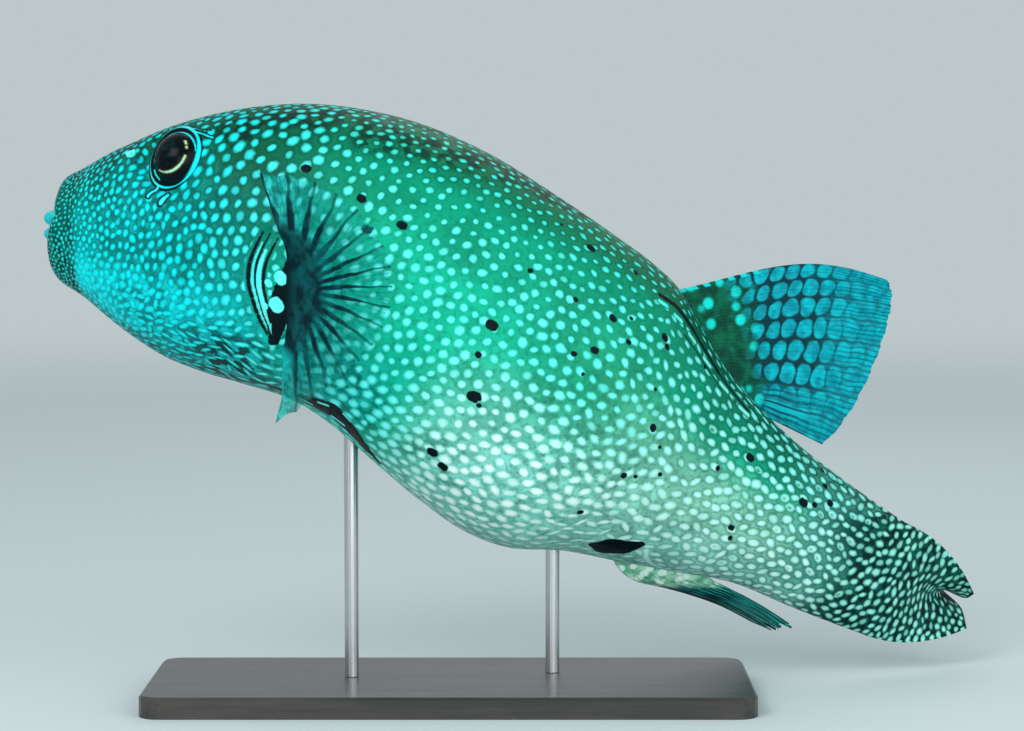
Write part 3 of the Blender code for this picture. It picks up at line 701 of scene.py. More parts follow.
ring = np.hypot((eye_at[..., 0] - EYE_RING[0]) / EYE_RING[2], (eye_at[..., 1] - EYE_RING[1]) / EYE_RING[3])
bare = np.minimum(bare, (ring - 1) * EYE_RING_RADIUS - 1.8)


def nearest_strokes(kind):
    """For each quad its nearest stroke: at the corners the distances across it and along it, its half width
    and half its length, all in mm."""
    start, end, width = (np.array(values) for values in zip(*strokes[kind]))
    corner = quad_places[..., :3]
    normal = unit(np.cross(corner[:, :, 2] - corner[:, :, 0], corner[:, :, 3] - corner[:, :, 1]) + 1e-15)
    best, which = np.full(corner.shape[:2], 1e9), np.zeros(corner.shape[:2], int)
    for one in range(len(start)):
        far = near_line(corner.mean(axis=2), [start[one], end[one]]) * 1000 - width[one]
        which = np.where(far < best, one, which)
        best = np.minimum(best, far)
    along = unit(end - start)[which]
    across = unit(np.cross(normal, along))
    gap = (corner - ((start + end) / 2)[which][:, :, None]) * 1000
    crosswise, lengthwise = ((gap * way[:, :, None]).sum(axis=-1) for way in (across, along))
    half_width = np.where(best < 9, width[which], -50.0)[..., None] + 0 * crosswise
    half_length = np.linalg.norm(end - start, axis=-1)[which] * 500
    return np.stack([crosswise, lengthwise, half_width], axis=-1), np.repeat(half_length.ravel(), 4)


# where a dark net fills the gaps between the spots, along trails over the body: its strength, how far it
# reaches from the trail in mm, and the trail's stations and rises
NET_TRAILS = (
    (0.80, 17, [(0.17, 48), (0.20, 60), (0.27, 72)]),  # crown
    (0.80, 20, [(0.30, 57), (0.40, 66), (0.52, 78)]),  # back
    (0.80, 16, [(0.24, 62), (0.27, 80), (0.36, 86)]),
    (0.90, 16, [(0.292, -4), (0.300, -20), (0.300, -34)]),  # under the pectoral fin
    (0.55, 26, [(0.33, -26), (0.37, -38), (0.42, -46)]),
)


def near_trail(trail, reach):
    return 1 - smooth(patch([(u, degrees, 0) for u, degrees in trail]), reach * 0.4, reach)


net = np.maximum.reduce(
    [strength * near_trail(trail, reach) for strength, reach, trail in NET_TRAILS]
    + [
        (0.35 + 0.45 * smooth(-rise, -5, 20)) * (1 - smooth(station, 0.026, 0.036)),  # lips
        0.60 * bump(station, 0.07, 0.03) * smooth(rise, 25, 50),  # snout
        0.65 * bump(station, 0.10, 0.05) * smooth(-rise, 10, 30) * (1 - smooth(-rise, 50, 70)),  # low cheek
        0.95 * throat,
        0.48 * bump(station, 0.11, 0.08) * (1 - smooth(rise, 40, 60)),  # cheek
        0.40 * bump(station, 0.68, 0.13) * bump(rise, -22, 34),  # smudges on the rear flank and the belly
        0.50 * bump(station, 0.56, 0.10) * bump(rise, -48, 16),
        0.90 * smooth(station, 0.94, 0.98),  # tail fin
    ]
)
# how dark the outline of each spot is
edging = (
    0.10
    + 0.30 * (1 - smooth(station, 0.16, 0.34)) * (1 - 0.7 * smooth(-rise, 8, 28) * (1 - throat))
    + 0.35 * smooth(rise, 35, 60)
    + 0.3 * smooth(station, 0.7, 0.9)
)


def tint(red, green, blue):
    """A paint colour given as 0 to 255 screen values, as linear light."""
    value = np.array([red, green, blue]) / 255
    return np.where(value <= 0.04045, value / 12.92, ((value + 0.055) / 1.055) ** 2.4)


def painted(first, *coats):
    """Colour at each point of the skin: a first coat, then others over it, each with a cover from 0 to 1."""
    field = first + np.zeros(plain.shape)
    for colour, cover in coats:
        field = field + (colour - field) * cover[..., None]
    return field


head = 1 - smooth(station, 0.13, 0.30)
tail = smooth(station, 0.62, 0.82)
tail_edge = 0.012 * np.sin(rise / 14) - 0.02 * smooth(rise, 20, 70)
pale_belly = smooth(-rise, -4, 34) * smooth(station, 0.44, 0.60)
low_cheek = smooth(-rise, 8, 28) * (1 - smooth(-rise, 50, 70))
ground = painted(
    tint(2, 186, 152),  # mid flank
    (tint(2, 150, 118), smooth(rise, 5, 30)),  # upper flank
    (tint(4, 176, 164), smooth(-rise, 8, 40) * (1 - smooth(station, 0.4, 0.5))),  # breast
    (tint(140, 228, 216), pale_belly),  # lower flank and belly
    # the back: its own darker green, darkened further as painted shade
    (tint(1, 98, 66), smooth(rise, 35, 62)),  # back
    (tint(44, 140, 96), 0.6 * bump(station, 0.66, 0.09) * bump(rise, 6, 20)),  # olive cast
    (tint(150, 220, 196), 0.9 * tail * (1 - smooth(rise, -8, 22))),  # rear flank
    (tint(4, 112, 90), 0.8 * tail * smooth(rise, 16, 42)),  # rear back
    (tint(152, 232, 222), 0.8 * tail * smooth(-rise, 20, 50)),  # under the tail
    # painted shade: the ground darkens where the dorsal fin meets the back
    (tint(1, 62, 42), 0.85 * bump(station, 0.745, 0.07) * smooth(rise, 44, 58)),  # dorsal fin's root
    (tint(1, 150, 146), head * (1 - smooth(rise, 20, 50))),  # cheek, two coats
    (tint(1, 172, 176), head * (1 - smooth(rise, 26, 50))),
    (tint(1, 228, 238), head * low_cheek),
    (tint(2, 150, 156), head * smooth(-rise, 45, 70)),  # throat
    (tint(1, 80, 52), bump(station, 0.195, 0.085) * bump(rise, 42, 42) ** 0.7),  # behind the eye
    (tint(1, 104, 98), (1 - smooth(station, 0.05, 0.10)) * smooth(rise, 0, 40)),  # snout
    (tint(1, 96, 98), 1 - smooth(station, 0.026, 0.034)),  # lips
    (tint(76, 152, 142), smooth(station, 0.88, 0.94) * (1 - 0.6 * smooth(-rise, 30, 60))),  # tail root
    (tint(1, 54, 76), smooth(station + tail_edge, 0.935, 0.975)),  # tail fin
    # painted shade: the skin that turns into the mouth is near-black
    (tint(1, 26, 28), 1 - smooth(station, 0.0, 0.008)),  # inside the lips
)
light = painted(
    tint(96, 244, 240),  # spots of the flank
    (tint(235, 255, 252), pale_belly),
    (tint(50, 226, 212), smooth(rise, 25, 60)),  # back
    (tint(186, 242, 236), 0.8 * tail * (1 - 0.6 * smooth(rise, 6, 44))),
    (tint(6, 226, 236), head),
    (tint(24, 208, 204), 1 - smooth(station, 0.024, 0.036)),  # lips
    (tint(142, 228, 208), smooth(station, 0.93, 0.98)),  # tail fin
)


def tube_faces(rows, around):
    """Quads between neighbouring rings, facing outwards, with both open ends zipped shut."""
    i, j = np.meshgrid(np.arange(rows - 1), np.arange(around), indexing="ij")
    k = (j + 1) % around
    quads = np.stack([i * around + j, (i + 1) * around + j, (i + 1) * around + k, i * around + k], axis=-1)
    j = np.arange(1, around // 2 - 1)
    front = np.stack([j, j + 1, around - j - 1, around - j], axis=-1)
    half = around // 2
    tips = np.array([(0, 1, around - 1), (half - 1, half, half + 1)])
    last = (rows - 1) * around
    groups = (quads.reshape(-1, 4), front[:, ::-1], front + last, tips[:, ::-1], tips + last)
    return [face for group in groups for face in group.tolist()]


def make_mesh(name, points, faces):
    """An object whose mesh has these points and faces, smooth shaded."""
    mesh = bpy.data.meshes.new(name)
    mesh.from_pydata(points.reshape(-1, 3), [], faces)
    mesh.shade_smooth()
    item = bpy.data.objects.new(name, mesh)
    bpy.context.scene.collection.objects.link(item)
    return item


def hold(item, name, values, domain="POINT"):
    """Keeps a number, an offset or a colour for each point or face corner, for the material to read. The
    corners of the faces that close the ends come after the values, and get a number far above any edge."""
    data = item.data
    count = len(data.vertices if domain == "POINT" else data.loops)
    parts = values.shape[-1] if values.ndim > 2 and values.shape[-1] in (3, 4) else 1
    values = values.reshape(-1, parts)
    filled = np.full((count, parts), 9.0, np.float32)
    filled[: len(values)] = values
    kind = {1: "FLOAT", 3: "FLOAT_VECTOR", 4: "FLOAT_COLOR"}[parts]
    layer = data.attributes.new(name, kind, domain)
    layer.data.foreach_set({1: "value", 3: "vector", 4: "color"}[parts], filled.ravel())


def opaque(values):
    """Colours with a fourth part of 1 added."""
    return np.concatenate([values, np.ones(values.shape[:-1] + (1,))], axis=-1)


skin = make_mesh("skin", skin_points, tube_faces(rows, AROUND))
hold(skin, "ground", opaque(ground))
hold(skin, "light", opaque(light))
hold(skin, "black", black)
hold(skin, "bare", bare)
hold(skin, "net", net)
hold(skin, "edging", edging)
hold(skin, "eye_at", eye_at)
hold(skin, "station", station)
for kind in strokes:
    across_stroke, half_length = nearest_strokes(kind)
    hold(skin, kind + "_stroke", across_stroke, "CORNER")
    hold(skin, kind + "_length", half_length, "CORNER")
for name, which, offset in zip(("spot", "spot_2"), quad_spots, spot_offsets):
    hold(skin, name, offset, "CORNER")
    hold(skin, name + "_ringed", np.repeat(ringed[which], 4), "CORNER")
    hold(skin, name + "_faint", np.repeat(faint[which], 4), "CORNER")


class Paint:
    """Builds one node material, a node at a time."""

    def __init__(self, name):
        self.material = bpy.data.materials.new(name)
        self.material.use_nodes = True
        self.nodes, self.links = self.material.node_tree.nodes, self.material.node_tree.links
        self.finish = self.nodes["Principled BSDF"]

    def put(self, value, socket):
        """Links a socket, or sets a constant."""
        if isinstance(value, bpy.types.NodeSocket):
            self.links.new(value, socket)
        elif value is not None:
            socket.default_value = value

    def add(self, kind, output=0, settings=(), **inputs):
        """Adds a node and returns one output. An input is named, or numbered as _0, _1 and so on."""
        node = self.nodes.new(kind)
        for key, value in dict(settings).items():
            setattr(node, key, value)
        for key, value in inputs.items():
            self.put(value, node.inputs[int(key[1:]) if key[1:].isdigit() else key.replace("_", " ")])
        return node.outputs[output]

    def read(self, name, output="Fac"):
        return self.add("ShaderNodeAttribute", output, {"attribute_name": name})

    def math(self, operation, a, b=None, c=None):
        return self.add("ShaderNodeMath", 0, {"operation": operation}, _0=a, _1=b, _2=c)

    def plus(self, a, b):
        return self.math("ADD", a, b)

    def minus(self, a, b):
        return self.math("SUBTRACT", a, b)

    def times(self, a, b):
        return self.math("MULTIPLY", a, b)

    def scaled(self, value, factor, more):
        return self.math("MULTIPLY_ADD", value, factor, more)

    def most(self, a, b):
        return self.math("MAXIMUM", a, b)

    def least(self, a, b):
        return self.math("MINIMUM", a, b)

    def unsigned(self, value):
        return self.math("ABSOLUTE", value)

    def off_whole(self, value):
        """How far a value is from the nearest whole number: 0 to 0.5."""
        return self.math("PINGPONG", value, 0.5)

    def squared(self, value):
        return self.math("POWER", value, 2.0)

    def step(self, value, low, high, out_low=0.0, out_high=1.0):
        """Smoothstep of a value from low to high."""
        return self.add(
            "ShaderNodeMapRange", 0, {"interpolation_type": "SMOOTHSTEP"},
            Value=value, From_Min=low, From_Max=high, To_Min=out_low, To_Max=out_high,
        )

    def noise(self, scale, detail=2.0, where=None, rough=0.5):
        where = where or self.place()
        sizes = {"Scale": scale, "Detail": detail, "Roughness": rough}
        return self.add("ShaderNodeTexNoise", "Fac", Vector=where, **sizes)

    def place(self, stretched=None):
        """Object coordinates, stretched along each axis where that is given."""
        where = self.add("ShaderNodeTexCoord", "Object")
        return self.add("ShaderNodeMapping", 0, Vector=where, Scale=stretched) if stretched else where

    def from_cell(self, scale, uneven):
        """Distance to the middle of the nearest of scattered cells."""
        return self.add(
            "ShaderNodeTexVoronoi", "Distance", {"feature": "F1"},
            Vector=self.place(), Scale=scale, Randomness=uneven,
        )

    def length_of(self, vector):
        return self.add("ShaderNodeVectorMath", "Value", {"operation": "LENGTH"}, _0=vector)

    def mix(self, share_of_b, a, b):
        """Colour a with a share of colour b over it; each is a socket or three numbers of linear light."""
        node = self.nodes.new("ShaderNodeMix")
        node.data_type = "RGBA"
        for value, socket in ((share_of_b, 0), (a, 6), (b, 7)):
            value = (*value, 1) if isinstance(value, (tuple, np.ndarray)) else value
            self.put(value, node.inputs[socket])
        return node.outputs[2]

    def bump_of(self, height, depth, strength):
        bumped = self.add("ShaderNodeBump", 0, Height=height, Distance=depth, Strength=strength)
        self.put(bumped, self.finish.inputs["Normal"])

    def set(self, **inputs):
        """Sets or links the finish's own inputs."""
        for key, value in inputs.items():
            self.put(value, self.finish.inputs[key.replace("_", " ")])
        return self.material


def skin_paint():
    """Ground, dark net, pale spots with wavering edges, black patches and lines, among them painted shade in
    creases, then pale lines, one over the other."""
    paint = Paint("skin_paint")
    wobble = paint.minus(paint.noise(420, 1.5), 0.5)
    fine = paint.minus(paint.noise(1500, 2.0), 0.5)
    tone = paint.noise(38, 4.0, rough=0.6)
    nears, holes, faints = [], [], []
    for name in ("spot", "spot_2"):
        offset = paint.read(name, "Vector")
        nears.append(paint.length_of(offset))
        aside = paint.add("ShaderNodeVectorMath", 0, {"operation": "ADD"}, _0=offset, _1=(0.10, 0.16, 0.14))
        hole = paint.step(paint.length_of(aside), 0.62, 0.25)
        holes.append(paint.times(hole, paint.read(name + "_ringed")))
        faints.append(paint.read(name + "_faint"))
    bare = paint.step(paint.read("bare"), 0.4, -0.4)
    near = paint.scaled(bare, 3.0, paint.least(nears[0], nears[1]))
    ground = paint.read("ground", "Color")
    ground = paint.mix(paint.step(tone, 0.35, 0.7, 0.0, 0.40), ground, tint(0, 84, 62))
    ground = paint.mix(paint.scaled(fine, 0.5, 0.06), ground, tint(30, 190, 120))
    mottle = paint.step(paint.noise(300, 3.0, rough=0.7), 0.50, 0.36, 0.0, 0.42)
    ground = paint.mix(mottle, ground, tint(12, 104, 74))
    # ground darkens close to a spot, as a thin outline
    outline = paint.times(paint.step(near, 0.95, 1.2), paint.step(near, 2.1, 1.35))
    ground = paint.mix(paint.times(outline, paint.read("edging")), ground, tint(0, 54, 46))
    # the dark net
    gaps = paint.step(paint.plus(near, paint.times(wobble, 1.4)), 1.22, 1.6)
    patchy = paint.step(paint.noise(120, 2.0), 0.40, 0.52)
    dark = paint.times(paint.times(gaps, patchy), paint.read("net"))
    ground = paint.mix(dark, ground, tint(0, 26, 26))
    # the pale spots
    pale = 0.0
    for own, hole, faint in zip(nears, holes, faints):
        edge = paint.plus(own, paint.times(wobble, 0.7))
        one = paint.minus(paint.step(edge, 1.32, 0.66), paint.times(hole, 0.6))
        pale = paint.most(pale, paint.minus(one, faint))
    pale = paint.times(pale, paint.minus(1.0, bare))
    light = paint.mix(paint.step(near, 0.2, 1.0, 0.0, 0.35), paint.read("light", "Color"), ground)
    colour = paint.mix(pale, ground, light)
    # the eye's surround: dark inside a pale ring and just outside it, and a pale line on the edge of the lid
    eye = paint.add("ShaderNodeSeparateXYZ", 0, Vector=paint.read("eye_at", "Vector"))
    x, y = eye, eye.node.outputs[1]

    def oval(middle_x, middle_y, half_x, half_y):
        """Distance from a middle in half sizes: 1 on the oval."""
        squares = [
            paint.squared(paint.math("DIVIDE", paint.minus(value, middle), half))
            for value, middle, half in ((x, middle_x, half_x), (y, middle_y, half_y))
        ]
        return paint.math("SQRT", paint.plus(*squares))

    ring = paint.scaled(oval(*EYE_RING), EYE_RING_RADIUS, -EYE_RING_RADIUS)
    cosine = paint.math("DIVIDE", x, paint.most(oval(0.0, 0.0, 1.0, 1.0), 0.1))
    half = paint.scaled(cosine, 0.35, 0.62)
    outer = paint.unsigned(paint.minus(paint.minus(ring, half), 0.8))
    eye_dark = paint.least(paint.plus(ring, half), paint.minus(outer, 0.65))
    lid = oval(LID_SHIFT[0] * 1000, LID_SHIFT[1] * 1000, 1.0, 1.0)
    lid = paint.unsigned(paint.minus(lid, LID_RADIUS))
    lid = paint.plus(paint.minus(lid, 0.35), paint.step(y, 4.0, 1.0, 0.0, 4.0))
    eye_pale = paint.least(paint.minus(paint.unsigned(ring), half), lid)
    # the strokes: distance to the nearest one, a bar with round ends, with an edge that wavers
    gaps_mm = {}
    for kind in ("dark", "pale"):
        across = paint.add("ShaderNodeSeparateXYZ", 0, Vector=paint.read(kind + "_stroke", "Vector"))
        along, width = across.node.outputs[1:]
        beyond = paint.minus(paint.unsigned(along), paint.read(kind + "_length"))
        beyond = paint.most(beyond, 0.0)
        far = paint.math("SQRT", paint.plus(paint.squared(across), paint.squared(beyond)))
        shake = paint.times(wobble, paint.step(width, 0.8, 2.4, 0.4, 1.4))
        gaps_mm[kind] = paint.plus(paint.minus(far, width), shake)
    # painted shade: a dark line along the crease behind the lips
    crease = paint.unsigned(paint.minus(paint.read("station"), 0.0238))
    crease = paint.scaled(crease, 600.0, -0.10)  # the dark line behind the lips
    black = paint.plus(paint.read("black"), paint.times(wobble, 1.8))
    for other in (eye_dark, gaps_mm["dark"], crease):
        black = paint.least(black, other)
    colour = paint.mix(paint.step(black, 0.3, -0.3), colour, tint(1, 18, 24))
    marks = paint.least(eye_pale, gaps_mm["pale"])
    mark_colour = paint.read("light", "Color")
    mark_colour = paint.mix(paint.step(tone, 0.42, 0.62, 0.0, 0.3), mark_colour, tint(120, 214, 180))
    colour = paint.mix(paint.step(marks, 0.4, -0.4), colour, mark_colour)
    relief = paint.plus(paint.times(fine, 0.7), paint.times(pale, 0.35))
    paint.bump_of(relief, 0.0005, 0.6)
    roughness = paint.step(paint.noise(160, 3.0), 0.3, 0.7, 0.36, 0.52)
    return paint.set(Base_Color=colour, Roughness=roughness, Specular_IOR_Level=0.07)


skin.data.materials.append(skin_paint())
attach(skin, "root")
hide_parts("head", "trunk", "tail", "upper_lip", "lower_lip", "caudal_fin")


# ======================================================================== eyes
# Each eye is a glass dome with its iris painted on from behind: near-black, with a broken ring of pale
# golden green near the rim. It is set from inside into its socket, and the painted lid laps over its edge.

EYE_RINGS, EYE_SPOKES = 140, 144
GLOBE_RADIUS, GLOBE_SUNK = 0.0150, 0.0063
IRIS_MIDDLE, IRIS_REARWARD = 11.0, 0.8  # radius of the iris arcs, and how much more it is at the rear, in mm
# for each arc the bearing of its middle from the rear, anticlockwise as the left eye is seen, and half its
# spread, both in degrees, and its half width in mm
IRIS_ARCS = ((40, 5, 0.34), (24, 3, 0.24), (-18, 18, 0.28), (-56, 24, 0.36), (-94, 12, 0.22), (-150, 8, 0.20))


def dome(side):
    """A globe: rings turn from the outward pole to the inner one, their radius the sine of the turn. With it,
    in mm, the distances of its points from the nearest iris arc and from the globe's axis."""
    centre, (rearward, upright, outward) = eye_opening(side)
    radius, centre = GLOBE_RADIUS, centre - outward * GLOBE_SUNK
    turn = np.linspace(0.012, np.pi - 0.012, EYE_RINGS)[:, None]
    bearing = np.linspace(0, 2 * np.pi, EYE_SPOKES, endpoint=False)[None]
    bearing = bearing if side > 0 else -bearing
    out = np.cos(turn) + 0 * bearing
    x, y = np.sin(turn) * np.cos(bearing), np.sin(turn) * np.sin(bearing)
    points = centre + radius * (rearward * x[..., None] + upright * y[..., None] + outward * out[..., None])
    from_axis = np.hypot(x, y) * radius * 1000
    degrees_round = np.degrees(np.arctan2(y, x))
    arcs = np.full(x.shape, 50.0)
    middle_of_arc = IRIS_MIDDLE + IRIS_REARWARD * np.cos(np.radians(degrees_round))
    for middle, spread, half in IRIS_ARCS:
        away = np.abs((degrees_round - middle + 180) % 360 - 180)
        beyond = np.radians(np.maximum(away - spread, 0)) * IRIS_MIDDLE
        arcs = np.minimum(arcs, np.hypot(from_axis - middle_of_arc, beyond) - half)
    return points, np.where(out > 0, arcs, 50.0), from_axis


def glass_paint():
    """Near-black glass under a clear gloss; the iris arcs are pale green fringed with brown."""
    paint = Paint("eye_glass")
    wobble = paint.minus(paint.noise(900, 2.0), 0.5)
    arcs = paint.plus(paint.read("iris"), paint.times(wobble, 0.5))
    cloud = paint.step(paint.noise(260, 3.0), 0.45, 0.7)
    cloud = paint.times(cloud, paint.step(paint.read("from_axis"), 9.5, 4.0))
    colour = paint.mix(cloud, tint(1, 10, 16), tint(2, 40, 42))
    colour = paint.mix(paint.step(arcs, 0.55, 0.15), colour, tint(110, 108, 44))
    colour = paint.mix(paint.step(arcs, 0.15, -0.25), colour, tint(150, 236, 214))
    return paint.set(
        Base_Color=colour, Roughness=0.25, Specular_IOR_Level=0.06, Coat_Weight=0.05, Coat_Roughness=0.06
    )


eye_glass = glass_paint()
for name, side in (("eye_left", 1), ("eye_right", -1)):
    # the rings run from the inner pole outwards, and round the way that turns the faces outwards
    points, arcs, from_axis = (values[::-1, ::-side] for values in dome(side))
    globe = make_mesh(name + "_dome", points, tube_faces(EYE_RINGS, EYE_SPOKES))
    hold(globe, "iris", arcs)
    hold(globe, "from_axis", from_axis)
    globe.data.materials.append(eye_glass)
    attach(globe, "root")
    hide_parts(name)


# ======================================================================== beak
# Two fused tooth plates of tinted resin, which all puffers have in place of teeth. They stand just inside the
# parted lips, glued to the back of the mouth.

PLATE_SQUARENESS = 2.6
PLATE_LEVELS = {"upper_beak": (0.2668, 0.2762), "lower_beak": (0.2582, 0.2669)}


def tooth_plate(name):
    """A rounded plate as long and wide as its solid's box: rings turn from the top pole to the foot, each a
    rounded square where the powers of x and y add up to 1, with a shallow groove down the front."""
    low, high = (np.array(corner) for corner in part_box(name))
    low[2], high[2] = PLATE_LEVELS[name]
    turn = np.linspace(0.02, np.pi - 0.02, 40)[:, None]
    bearing = np.linspace(0, 2 * np.pi, 72, endpoint=False)[None]
    ring = np.sin(turn) ** 0.6
    power = 2 / PLATE_SQUARENESS
    x, y = (np.sign(wave) * np.abs(wave) ** power for wave in (np.cos(bearing), np.sin(bearing)))
    x = x + 0.10 * bump(y, 0, 0.10) * (x < 0)
    z = np.cos(turn) + 0 * bearing
    points = np.stack([x * ring, y * ring, z], axis=-1)
    return (low + high) / 2 + points * (high - low) / 2


def beak_paint():
    """Sea-green enamel with faint upright growth lines."""
    paint = Paint("beak_enamel")
    lines = paint.noise(1.0, 2.0, where=paint.place((400, 400, 40)))
    colour = paint.mix(paint.step(lines, 0.35, 0.7), tint(10, 176, 184), tint(30, 214, 216))
    return paint.set(Base_Color=colour, Roughness=0.3, Specular_IOR_Level=0.2)


beak_enamel = beak_paint()
for name in ("upper_beak", "lower_beak"):
    points = tooth_plate(name)
    plate = make_mesh(name + "_plate", points[::-1], tube_faces(*points.shape[:2]))
    plate.data.materials.append(beak_enamel)
    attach(plate, "root")
    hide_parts(name)


# ======================================================================== nostril flaps
# In front of each eye stands a short fleshy flap with a forked tip. It is a resin cast, glued to the skin and
# painted teal at the foot and pale at the tip.

NOSTRIL_SHARE, NOSTRIL_RADIUS, NOSTRIL_HEIGHT = 0.081, 0.0021, 0.0050
NOSTRIL_LEAN = (0.75, 0.60, 0.25)  # outwards, upwards and forwards
# share of the way from the foot over the rim into the cup, level as a share of the height, and width
NOSTRIL_RINGS = np.array(
    (
        (0, -0.62, 1.15),
        (0.3, -0.1, 0.92),
        (0.55, 0.38, 1.12),
        (0.7, 0.5, 0.95),
        (0.8, 0.42, 0.6),
        (1.0, 0.1, 0.05),
    )
)


def flap(side):
    """A short stalk: oval rings whose level and width follow curves from foot to rim and down into a cup.
    With it, how near each point is to the tip."""
    low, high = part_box("nostril_left" if side > 0 else "nostril_right")
    middle = (np.array(low) + np.array(high)) / 2
    _, back, up, left = spine(NOSTRIL_SHARE)
    outwards, upwards, forwards = NOSTRIL_LEAN
    lean = unit(left * side * outwards + up * upwards - back * forwards)
    across = unit(np.cross(lean, left))
    flat = unit(np.cross(lean, across))
    s = np.linspace(0, 1, 28)[:, None]
    level, width = (eased(s, NOSTRIL_RINGS[:, 0], NOSTRIL_RINGS[:, column]) for column in (1, 2))
    turn = np.linspace(0, 2 * np.pi, 32, endpoint=False)[None]
    fork = 0.16 * np.cos(2 * turn) * smooth(s, 0.4, 0.7) * (1 - smooth(s, 0.8, 1.0))
    return (
        middle
        + lean * (NOSTRIL_HEIGHT * (level + fork))[..., None]
        + across * (NOSTRIL_RADIUS * 1.25 * width * np.cos(turn))[..., None]
        + flat * (NOSTRIL_RADIUS * width * np.sin(turn))[..., None]
    ), smooth(level + fork, -0.1, 0.35)


def flap_paint():
    """Teal at the foot, pale aqua at the tip."""
    paint = Paint("nostril_paint")
    colour = paint.mix(paint.read("tip"), tint(4, 96, 100), tint(90, 240, 228))
    paint.bump_of(paint.noise(1500, 2.0), 0.0003, 0.5)
    return paint.set(Base_Color=colour, Roughness=0.45)


nostril_paint = flap_paint()
for name, side in (("nostril_left", 1), ("nostril_right", -1)):
    points, tip = flap(side)
    piece = make_mesh(name + "_flap", points, tube_faces(*points.shape[:2]))
    hold(piece, "tip", tip + 0 * points[..., 0])
    piece.data.materials.append(nostril_paint)
    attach(piece, "root")
    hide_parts(name)


# ======================================================================== dorsal fin
# One fin on the back, near the tail: soft branching rays with pale skin between them, on a fleshy lobe.
# It is a resin cast, thick at the root and thin at the margin, pegged into the back before painting.

ROOT_SUNK = 0.008
FLESHY_REACH = 0.42  # share of a fin's length over which it thins to its edge
DORSAL_ROOT = (0.694, 0.828)  # shares of the spine where the fin begins and ends
DORSAL_LENGTHS = (0.137, 0.062)  # of the first ray and the last
DORSAL_LIFT = 0.57  # radians above the line of the back
DORSAL_LEVEL = 0.734  # share of the spine where that line is taken
DORSAL_BOW = 0.012
DORSAL_THICK = 0.012
DORSAL_RAYS = 8  # rows of windows
WINDOW_LENGTH, BEAD_LENGTH = 9.6, 7.5  # mm from one to the next
STREAK_ROW = 7.167  # the row, counted from the front, of the palest bar


def fin_thickness(reach, thick):
    """Fleshy at the root, thin from a third of the way out."""
    return FIN_EDGE + (thick - FIN_EDGE) * np.clip(1 - reach / FLESHY_REACH, 0, 1) ** 1.6


def back_point(u, sunk):
    """A point on the middle of the back, sunk into it."""
    point, _, up, _ = spine(u)
    return point + up * (section(u)[0] - sunk)[..., None]


def fin_piece(name, node, sheet, thick, k, r, ridge, paint_it, reach_mm):
    """A closed fin round a sheet, with r from 0 to 1 along the rays and k across them: each ring goes out
    along one face and back along the other, and the rays stand up from both as ridges."""
    normal = unit(np.cross(np.gradient(sheet, axis=0), np.gradient(sheet, axis=1)) + 1e-15)
    half = (np.broadcast_to(thick / 2 + ridge, sheet.shape[:2]))[..., None]
    rounding = np.sqrt(np.clip(1 - np.abs(2 * k - 1) ** 24, 0, 1))[None, :, None]
    near_face, far_face = sheet + normal * half * rounding, sheet - normal * half * rounding
    points = np.concatenate([near_face, far_face[:, -2:0:-1]], axis=1)
    across = np.concatenate([k, k[-2:0:-1]])[None] + 0 * points[..., 0]
    out = r[:, None] + 0 * points[..., 0]
    reach = np.concatenate([reach_mm, reach_mm[:, -2:0:-1]], axis=1)
    fin = make_mesh(name, points, tube_faces(*points.shape[:2]))
    hold(fin, "across", across)
    hold(fin, "out", out)
    hold(fin, "reach", reach)
    fin.data.materials.append(paint_it)
    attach(fin, "root")
    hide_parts(node)
    return fin


def ray_ridge(k, r, rays, height, start):
    """Rays as low ridges, twice as many beyond the middle where each one forks."""
    few = np.abs(np.cos(np.pi * rays * k)) ** 6
    many = np.abs(np.cos(2 * np.pi * rays * k)) ** 4
    forked = smooth(r, 0.5, 0.62)[:, None]
    return height * smooth(r, start, start + 0.15)[:, None] * (few * (1 - forked) + many * forked * 0.6)


def notched(k, rays, depth):
    """The margin between the rays is drawn in a little."""
    return 1 - depth * np.abs(np.sin(np.pi * rays * k)) ** 1.5


def dorsal_sheet(k, r):
    """Rays from the back to a line of tips, less raised towards the rear, bowed up between. With it, the
    distance along each ray in mm."""
    share = DORSAL_ROOT[0] + (DORSAL_ROOT[1] - DORSAL_ROOT[0]) * k
    _, back, up, _ = spine(DORSAL_LEVEL)
    lift = (DORSAL_LIFT * (1 - k**2.8))[:, None]
    length = (DORSAL_LENGTHS[0] + (DORSAL_LENGTHS[1] - DORSAL_LENGTHS[0]) * k**1.7)[:, None]
    length = length * notched(k, DORSAL_RAYS * 3, 0.004)[:, None]
    tip = back_point(share, 0.0) + length * (back * np.cos(lift) + up * np.sin(lift))
    root = back_point(share, ROOT_SUNK)
    rise = back * -np.sin(DORSAL_LIFT) + up * np.cos(DORSAL_LIFT)
    bow = DORSAL_BOW * np.outer(np.sin(np.pi * r**1.4), (1 - k) ** 1.5)
    ripple = 0.0009 * np.outer(smooth(r, 0.3, 1.0), np.sin(np.pi * 2 * DORSAL_RAYS * k))
    sheet = root + (tip - root) * r[:, None, None] + rise * bow[..., None]
    side = spine(DORSAL_LEVEL)[3]
    return sheet + side * ripple[..., None], np.outer(r, length[:, 0]) * 1000


